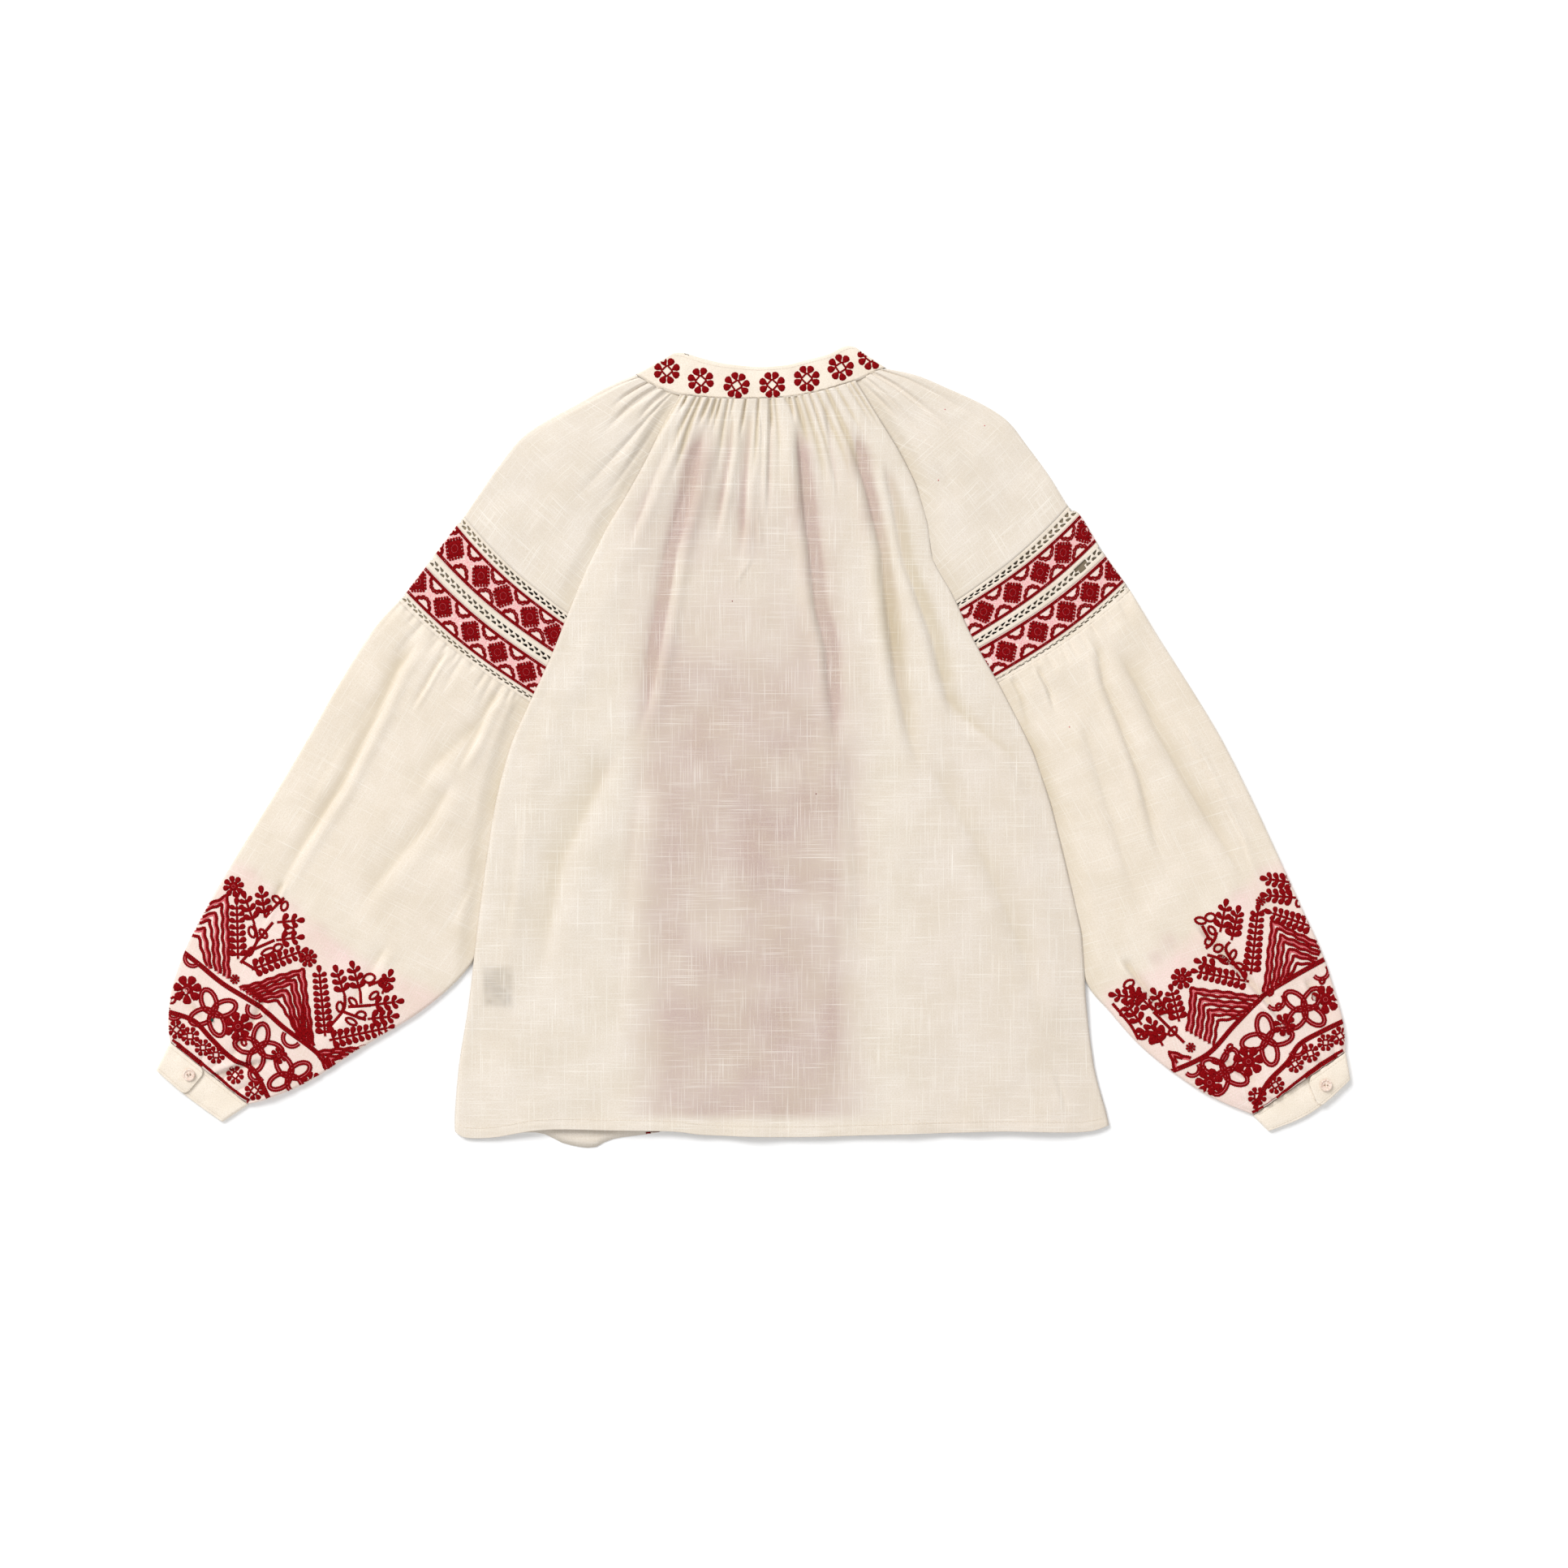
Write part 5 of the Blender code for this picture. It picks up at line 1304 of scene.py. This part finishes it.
def layOn(cloth, fromBelow=False):
    # puts worked points down on a cloth, from above or from below; points beside it are left out
    surface = BVHTree.FromObject(cloth, bpy.context.evaluated_depsgraph_get())
    start, down = (-0.02, 1.0) if fromBelow else (0.05, -1.0)

    def place(points):
        found, moved = np.zeros(len(points), bool), toScene(np.column_stack([points[:, :2], points[:, 2] * 0.0]))
        for k, (x, y, _) in enumerate(moved):
            hit = surface.ray_cast((x, y, start), (0.0, 0.0, down), 0.1)[0]
            if hit is not None:
                found[k] = True
                moved[k, 2] = max(hit[2] - down * points[k, 2] * mm, 0.00002)
        return moved, found
    return place


def sewOn(name, book, place, slot):
    # one joined piece for each thread colour
    pieces = []
    for kind, parts in book.items():
        if not parts:
            continue
        first = np.cumsum([0] + [len(points) for points, _, _ in parts])
        moved, found = place(np.concatenate([points for points, _, _ in parts]))
        uv = np.concatenate([part[2] for part in parts])
        faces = [tuple(int(corner + start) for corner in face)
                 for (_, own, _), start in zip(parts, first) for face in own]
        level = moved[:, 2]
        faces = [face for face in faces if all(found[list(face)]) and np.ptp(level[list(face)]) < 0.0025]
        if not faces:
            continue
        used = sorted({corner for face in faces for corner in face})
        number = {corner: k for k, corner in enumerate(used)}
        mesh = bpy.data.meshes.new(name + "_" + kind)
        mesh.from_pydata(moved[used].tolist(), [], [[number[corner] for corner in face] for face in faces])
        corner = [loop.vertex_index for loop in mesh.loops]
        mesh.uv_layers.new(name="grain").data.foreach_set("uv", uv[used][corner].ravel())
        pieces.append(dress(newPiece(mesh), threads[kind], slot))
    return pieces


print("threads made")


# Band pattern, worked flat, in mm: distance from the outer fold along the band, and across its width
bandPattern = {
    "width": 29.0, "square": 12.8, "middle": 14.5, "line": 2.4, "zigzag": (11.2, 0.5), "rings": (0.34, 0.22, 0.13),
    "teeth": 5,   # small petals on each side of a square
    "squares": {("left", 8): (10.7, 41.8, 66.3, 94.0, 118.4), ("left", 10): (2.5, 31.7, 61.9, 90.0, 118.3),
                ("right", 8): (4.8, 29.0, 53.9, 81.9, 110.3), ("right", 10): (1.8, 28.2, 53.2, 81.7, 112.2)},
    "pitch": 27.2,
}


def halfFlower(book, middle, edge, inward):
    # half a wavy flower on the edge line, in two dark rows
    half = [(0.0, 7.9), (1.5, 6.6), (3.6, 6.9), (4.0, 4.6), (6.4, 3.6), (6.8, 0.0)]
    shape = rounded([(-x, y) for x, y in reversed(half[1:])] + half, detail=4)
    path = np.stack([middle + shape[:, 0], edge + inward * shape[:, 1]], axis=1)
    for off in (-0.75, 0.75):
        book["red"].append(thread(beside(evenly(path, 0.9)[0], off), 1.7, 0.6, step=1.0))


def bandBook(side, first):
    look, book = bandPattern, newBook()
    width = math.dist(*np.split(tableAt(sleeves[side], first + 0.5)[:4], 2))
    middle = look["middle"]
    squares = list(look["squares"][side, first])
    while squares[0] > -width - look["pitch"]:
        squares.insert(0, squares[0] - look["pitch"])
    squares.append(squares[-1] + look["pitch"])
    spots = [(a + b) / 2.0 for a, b in zip(squares, squares[1:])]
    for inward, edge in ((1.0, look["line"]), (-1.0, look["width"] - look["line"])):
        chainLine(book, [(-width, edge - 0.2 * inward), (width, edge - 0.2 * inward)], 3.3)
        book["lattice"].append(
            thread([(-width, edge - 1.9 * inward), (width, edge - 1.9 * inward)], 0.9, 0.25, step=1.4))
        for spot in spots:
            halfFlower(book, spot, edge + 0.4 * inward, inward)
        zigzag = [place for square, spot in zip(squares, spots) for place in (
            (square, middle - inward * look["zigzag"][0]), (spot, middle - inward * look["zigzag"][1]))]
        for off in (-1.5, 0.0, 1.5):
            book["lattice"].append(thread(beside(evenly(zigzag, 1.2)[0], off), 1.45, 0.24, step=1.2))
    for number, square in enumerate(squares):
        lean = math.pi / 4 + 0.12 * math.sin(3.1 * number + first)
        squareSide = look["square"]
        book["red"].append(pad((square, middle), scallopedSquare(squareSide), 0.45, lean, squareDisc))
        for k in range(4 * look["teeth"]):
            edge, along = divmod(k, look["teeth"])
            x, y = (along + 0.5) / look["teeth"] * squareSide - squareSide / 2.0, squareSide / 2.0 - 1.2
            for _ in range(edge):
                x, y = -y, x
            heading = lean + math.pi / 2.0 * (edge + 1)
            tooth = turnedTo((square, middle), lean, x, y)
            book["red"].append(pad(tooth, petal(2.9, 2.4, 0.3), 0.7, heading))
        for ringNumber, size in enumerate(look["rings"]):
            ring = [(square + squareSide * size * math.cos(a + lean), middle + squareSide * size * math.sin(a + lean))
                    for a in np.linspace(0.0, 2.0 * math.pi, 17)]
            colour, broad = ("pink", 0.45) if ringNumber == 1 else ("red", 1.3)
            book[colour].append(thread(ring, broad, 0.8, step=0.9))
    return book, width


for side in ("left", "right"):
    for first in (8, 10):
        book, width = bandBook(side, first)

        def onBand(points):
            across, share = points[:, 0] / width, points[:, 1] / bandPattern["width"]
            inside = (np.abs(across) <= 0.999) & (share > 0.0) & (share < 1.0)
            moved, _ = onSleeve(side, first + np.clip(share, 0.012, 0.988), np.clip(across, -1.0, 1.0),
                                height=points[:, 2])
            moved[:, 2] = np.maximum(moved[:, 2], 0.02)
            return toScene(moved), inside

        name = "band_%d_sewing_%s" % (stripNumber(first), side)
        sewOn(name, book, onBand, "embroidered_band")
print("band embroidery made")


# Sleeve-end embroidery: where each ordinary folk motif lies, in photo pixels, and its size in pixels.
# A chevron has an outer and an inner angle and a count, a leaf a heading, a length and a width, a knot a turn
cuffPattern = {
    "left": {
        "flowers": [(289, 1092, 25), (381, 1180, 22), (291, 1206, 12), (345, 1300, 20)],
        "large": [(232, 1219, 34), (295, 1264, 34), (385, 1333, 26)],
        "chevrons": [((246, 1120), (281, 1103), (284, 1205), (232, 1153), (246, 1153), (256, 1190), 6),
                     ((297, 1217), (375, 1193), (388, 1288), (320, 1234), (345, 1232), (370, 1276), 7),
                     ((404, 1318), (391, 1295), (462, 1288), (416, 1314), (410, 1305), (440, 1300), 4)],
        "ferns": [((295, 1181), (293, 1116)), ((312, 1194), (372, 1172)), ((402, 1276), (395, 1199)),
                  ((407, 1281), (478, 1266))],
        "sprigs": [((315, 1138), (304, 1108)), ((328, 1130), (324, 1102)), ((343, 1136), (366, 1134)),
                   ((342, 1158), (366, 1155)), ((426, 1226), (417, 1199)), ((445, 1222), (437, 1194)),
                   ((458, 1238), (488, 1234)), ((454, 1255), (482, 1252)),
                   ((472, 1224), (480, 1204))],
        "twigs": [[(298, 1186), (318, 1160), (314, 1138)], [(308, 1172), (340, 1158)], [(318, 1160), (338, 1136)],
                  [(328, 1130), (345, 1112), (352, 1106)], [(404, 1268), (424, 1244), (426, 1226)],
                  [(424, 1246), (452, 1256)], [(430, 1240), (458, 1238)], [(445, 1222), (446, 1236)],
                  [(455, 1214), (470, 1208), (478, 1206)], [(300, 1184), (320, 1196)], [(292, 1108), (297, 1098)]],
        "leaves": [(312, 1148, 1.9, 14, 8), (332, 1172, 0.4, 18, 7), (344, 1167, 0.5, 12, 8), (352, 1116, 1.2, 12, 8),
                   (342, 1108, -0.6, 12, 7), (420, 1240, 1.6, 13, 8), (446, 1250, 0.1, 12, 9), (434, 1258, -0.5, 15, 7),
                   (456, 1205, 0.2, 15, 11), (478, 1216, 1.3, 11, 8), (472, 1208, 0.8, 10, 5), (281, 1256, 1.4, 8, 6),
                   (302, 1284, -0.9, 8, 6), (214, 1232, 0.9, 9, 6), (326, 1150, -0.9, 13, 7), (336, 1180, 0.2, 13, 7),
                   (436, 1234, -0.8, 13, 7), (462, 1226, 0.7, 13, 7), (358, 1146, 0.3, 12, 7), (310, 1172, 1.1, 11, 6)],
        "knots": [(264, 1247, 30, 0.35), (320, 1290, 30, -0.2), (358, 1325, 28, 0.5)],
        "arcs": [(239, 1180, 10), (316, 1243, 10), (361, 1278, 11), (216, 1246, 9), (318, 1322, 9)],
        "border": [(219, 1268, 18), (236, 1276, 18), (252, 1290, 16), (268, 1299, 17), (291, 1324, 17),
                   (315, 1343, 19)],
        "lines": [[(218, 1166), (246, 1187), (277, 1212), (322, 1240), (352, 1266), (388, 1293), (410, 1316)],
                  [(208, 1246), (240, 1257), (262, 1279), (287, 1303), (314, 1318), (332, 1352)]],
        "seam": [(211, 1284), (236, 1303), (262, 1325), (288, 1347), (306, 1359)],
        "bead": (263, 1256),
    },
    "right": {
        "flowers": [(1455, 1205, 26), (1466, 1290, 12), (1581, 1262, 27), (1552, 1110, 12)],
        "large": [(1632, 1231, 34), (1537, 1307, 36), (1489, 1333, 33)],
        "chevrons": [((1462, 1270), (1467, 1217), (1553, 1228), (1495, 1288), (1498, 1257), (1526, 1254), 7),
                     ((1556, 1222), (1566, 1134), (1630, 1166), (1586, 1206), (1597, 1186), (1618, 1188), 7),
                     ((1448, 1318), (1439, 1294), (1466, 1304), (1450, 1309), (1446, 1300), (1456, 1304), 2)],
        "ferns": [((1540, 1200), (1548, 1124)), ((1538, 1209), (1476, 1197)), ((1617, 1142), (1567, 1125)),
                  ((1452, 1258), (1443, 1222))],
        "sprigs": [((1502, 1148), (1508, 1118)), ((1516, 1158), (1523, 1126)), ((1596, 1088), (1562, 1083)),
                   ((1596, 1106), (1562, 1103)), ((1412, 1230), (1376, 1226)), ((1440, 1274), (1410, 1270)),
                   ((1406, 1262), (1390, 1240)), ((1432, 1288), (1418, 1262)),
                   ((1420, 1244), (1398, 1222)), ((1442, 1252), (1424, 1226)), ((1500, 1194), (1480, 1186))],
        "twigs": [[(1534, 1204), (1510, 1172), (1514, 1160)], [(1498, 1148), (1494, 1160), (1484, 1168)],
                  [(1520, 1188), (1500, 1180), (1486, 1176)], [(1480, 1140), (1490, 1158)],
                  [(1612, 1110), (1600, 1096)], [(1618, 1128), (1612, 1108), (1608, 1094)],
                  [(1458, 1284), (1436, 1262), (1420, 1246)],
                  [(1370, 1236), (1392, 1262), (1402, 1280)], [(1540, 1130), (1560, 1120)],
                  [(1430, 1250), (1416, 1238)]],
        "leaves": [(1500, 1168, 0.4, 12, 9), (1506, 1182, -0.6, 16, 7), (1488, 1160, 0.4, 10, 9),
                   (1478, 1134, -0.2, 14, 8), (1490, 1130, 0.1, 13, 10), (1600, 1112, 1.1, 11, 8),
                   (1606, 1068, 1.2, 14, 8), (1390, 1212, 0.6, 14, 9), (1428, 1240, 0.7, 14, 8),
                   (1444, 1270, 0.9, 13, 8), (1420, 1280, 1.1, 12, 8), (1564, 1222, 1.2, 9, 6),
                   (1574, 1240, 1.3, 9, 6), (1514, 1290, 1.1, 9, 6), (1628, 1208, 1.4, 8, 6),
                   (1480, 1316, 0.8, 9, 6), (1518, 1176, 1.2, 13, 7), (1492, 1146, -0.9, 12, 7),
                   (1384, 1246, 0.9, 12, 7), (1408, 1276, 0.4, 12, 7), (1526, 1190, -0.4, 12, 7)],
        "knots": [(1606, 1242, 30, 0.9), (1560, 1280, 32, 0.2), (1508, 1320, 30, -0.4)],
        "arcs": [(1570, 1232, 11), (1500, 1298, 11), (1626, 1196, 10), (1468, 1316, 9), (1596, 1290, 10)],
        "border": [(1650, 1276, 18), (1632, 1284, 16), (1613, 1297, 18), (1594, 1310, 17), (1570, 1336, 17),
                   (1548, 1350, 18)],
        "lines": [[(1442, 1320), (1487, 1298), (1520, 1262), (1556, 1226), (1590, 1204), (1634, 1180)],
                  [(1545, 1366), (1560, 1334), (1585, 1308), (1600, 1286), (1628, 1270), (1658, 1256)]],
        "seam": [(1544, 1374), (1566, 1362), (1596, 1338), (1628, 1314), (1656, 1297)],
        "bead": None,
    },
}


def cuffBook(side):
    look, book = cuffPattern[side], newBook()
    at = lambda x, y: fromPhoto((x, y))[0]
    inward = 1.0 if side == "left" else -1.0
    for x, y, size in look["flowers"]:
        flower(book, at(x, y), size / 1.5, 0.1 * (x % 7), ring=size > 15)
    for x, y, size in look["large"]:
        flower(book, at(x, y), size / 1.5, 0.1 * (x % 5), 7)
    for corners in look["chevrons"]:
        chevron(book, fromPhoto(*corners[:3]), fromPhoto(*corners[3:6]), corners[6])
    for start, end in look["ferns"]:
        fern(book, *fromPhoto(start, end))
    for start, end in look["sprigs"]:
        sprig(book, *fromPhoto(start, end))
    for path in look["twigs"]:
        book["red"].append(thread(rounded(fromPhoto(*path)), 2.8, 0.5))
    for x, y, heading, length, width in look["leaves"]:
        outlineLeaf(book, at(x, y), heading, length / 1.5, width / 1.5)
    for x, y, size, turn in look["knots"]:
        knot(book, at(x, y), size / 1.5, turn)
    for x, y, size in look["arcs"]:
        slope = -0.65 * inward
        ring = [(at(x, y)[0] + size / 1.5 * math.cos(a + slope), at(x, y)[1] + size / 1.5 * math.sin(a + slope))
                for a in np.linspace(-math.pi, 0.0, 9)]
        edged(book, ring, 1.2, 1.8)
    for x, y, size in look["border"]:
        squareFlower(book, at(x, y), (size + 5.0) / 1.5, 0.3 * (x % 4))
    for path in look["lines"]:
        chainLine(book, rounded(fromPhoto(*path)), 4.0)
    chainLine(book, beside(evenly(rounded(fromPhoto(*look["seam"])), 1.0)[0], 2.0), 4.2)
    return book


for side in ("left", "right"):
    lower, book = sleeveCloth[side]["lower"], cuffBook(side)
    shown = sewOn("lower_sleeve_sewing_" + side, book, layOn(lower), "sleeve_gauze")
    shown += sewOn("lower_sleeve_sewing_under_" + side, book, layOn(lower, fromBelow=True), "sleeve_gauze")
    if cuffPattern[side]["bead"]:
        bead = newBook()
        (bx, by), = fromPhoto(cuffPattern[side]["bead"])
        bead["green"].append(pad((bx - 1.2, by), petal(2.4, 2.6, 0.1), 1.6))
        shown += sewOn("small_bead_" + side, bead, layOn(lower), "sleeve_gauze")
print("sleeve-end embroidery made")


# Neckband flowers, the label's loose threads at the left peak, and its two rows of stitching
neckPattern = {"flowers": [(822, 457.9), (863.6, 470), (907.7, 475.8), (951.5, 475), (994, 467.4), (1035.7, 453.7),
                           (1072.5, 440.5), (779.0, 447)],
               "size": 21.0, "under": [-72.0, -46.0, -18.0, 30.0, 57.0, 80.0]}
book, under = newBook(), newBook()
for number, spot in enumerate(fromPhoto(*neckPattern["flowers"])):
    squareFlower(book, spot, neckPattern["size"], 0.75 + 0.17 * math.sin(2.3 * number))
seamLine = bandSections("upper", 60)
for share in (0.055, 0.90):
    book["cream"] += stitches([mix(row[:2], row[2:4], share) for row in seamLine[2:-2]], 1.6, 0.9)
for middle in neckPattern["under"]:
    row = bandSections("lower", 200)
    row = row[np.argmin(np.abs((row[:, 0] + row[:, 2]) / 2 - middle))]
    squareFlower(under, mix(row[:2], row[2:4], 0.52), neckPattern["size"], 0.75)
book["label"] += [thread(fromPhoto(start, end), 0.6, 0.5) for start, end in (
    ((843.5, 436.6), (846.0, 437.6)), ((847.0, 437.4), (849.0, 438.8)))]
neckSewing = sewOn("neckband_sewing", book, layOn(neckband), "neckband_cotton")
neckSewing += sewOn("neckband_sewing_under", under, layOn(neckband, fromBelow=True), "neckband_cotton")
print("neckband embroidery made")


# Hem and cuff stitching, the bit of front embroidery that shows below the hem, and the buttons with their thread
hemX = np.linspace(-243.0, 289.5, 240)
book, peek = newBook(), newBook()
book["cream"] += stitches(np.stack([hemX, hemY(backHem, hemX) + 8.4], axis=1), 2.0, 1.1)
hemSewing = sewOn("hem_stitching", book, layOn(backCloth), "cotton_gauze")
chainLine(peek, fromPhoto((796, 1397.0), (815, 1396.6), (832, 1396.8)), 3.2)
frontSewing = sewOn("front_sewing", peek, layOn(frontCloth), "cotton_gauze")
specks, resin = {}, pearlyResin()
for side in ("left", "right"):
    book, sewn = newBook(), newBook()
    steps = np.linspace(0.03, 0.97, 40)
    for down in cuffLook["stitchRows"]:
        line, _ = cuffPlace(side, steps, np.full(40, down))
        book["cream"] += stitches(line, 1.6, 0.9)
    sewOn("cuff_stitching_" + side, book, layOn(sleeveCloth[side]["cuff"]), "cuff_cotton")
    button = bpy.data.objects["button_" + side]
    for holder in button.material_slots:
        holder.material = resin
    bx, by = cuffLook[side]["button"]
    reach = buttonLook["threadReach"]
    slope = 0.9 if side == "left" else -0.9
    ends = [(bx - 1.5 * reach * math.cos(slope), by - 1.5 * reach * math.sin(slope)),
            (bx + 1.5 * reach * math.cos(slope), by + 1.5 * reach * math.sin(slope))]
    sewn["cream"] += [thread(beside(evenly(ends, 0.5)[0], off), 0.5, 0.5, step=0.5) for off in (-0.25, 0.25)]
    sewOn("button_thread_" + side, sewn, layOn(button), "button_resin")
for name, cloth, slot, spots in (
        ("back_specks", backCloth, "cotton_gauze", [(1005, 979), (903, 742)]),
        ("head_specks", sleeveCloth["right"]["head"], "sleeve_gauze", [(1163, 505), (1212, 526), (1155, 593)]),
        ("sleeve_specks", sleeveCloth["right"]["lower"], "sleeve_gauze", [(1317, 897)])):
    book = newBook()
    for spot in fromPhoto(*spots):
        book["red" if name == "back_specks" else "pink"].append(pad(spot, petal(1.3, 0.9), 0.3, spot[0]))
    specks[name] = sewOn(name, book, layOn(cloth), slot)
print("stitching, specks and buttons made")


# Floor, lights and camera
stageLook = {
    "floor": "#fefefe", "floorSize": 12.0, "sky": 0.5,
    # place and size in metres, and strength; watts is the power of a strength of 1 at 2.85 m
    "watts": 20.0,
    "lights": {"key": ((-5.6, 6.9, 7.3), 6.0, 3.75), "fill": ((4.6, -5.4, 7.0), 7.0, 0.98)},
    "camera": (0.02523, -0.03027, 3.041),   # straight above the middle of the photo's frame
    "lens": 85.0,
}


def makeStage():
    look = stageLook
    bpy.ops.object.select_all(action="DESELECT")
    bpy.ops.mesh.primitive_plane_add(size=look["floorSize"], location=(0.0, 0.0, -0.0002))
    floor = bpy.context.active_object
    floor.name = "floor"
    material, tree, shader = newMaterial("matt white paper")
    shader.inputs["Base Color"].default_value = toLinear(look["floor"])
    shader.inputs["Roughness"].default_value = 0.9
    floor.data.materials.append(material)
    floor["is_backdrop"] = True
    world = bpy.data.worlds.new("soft white room")
    bpy.context.scene.world = world
    world.use_nodes = True
    background = world.node_tree.nodes["Background"]
    background.inputs["Color"].default_value = (1.0, 1.0, 1.0, 1.0)
    background.inputs["Strength"].default_value = look["sky"]
    for name, (place, size, power) in look["lights"].items():
        light = bpy.data.lights.new(name, "AREA")
        light.shape = "SQUARE"
        light.size = size
        light.energy = power * look["watts"] * (place[0] ** 2 + place[1] ** 2 + place[2] ** 2) / 8.1
        lamp = bpy.data.objects.new(name, light)
        bpy.context.scene.collection.objects.link(lamp)
        lamp.location = place
        lamp.rotation_mode = "QUATERNION"
        lamp.rotation_quaternion = (-lamp.location).to_track_quat("-Z", "Y")
    camera = bpy.data.objects.new("camera", bpy.data.cameras.new("camera"))
    bpy.context.scene.collection.objects.link(camera)
    camera.data.lens = look["lens"]
    camera.data.sensor_width = 36.0
    camera.location = look["camera"]
    camera.data.clip_end = 20.0
    bpy.context.scene.camera = camera
    bpy.context.scene.view_settings.view_transform = "Standard"


makeStage()

{"cad": [list(corner) for corner in cadBox], "visual": [list(corner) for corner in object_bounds()]}
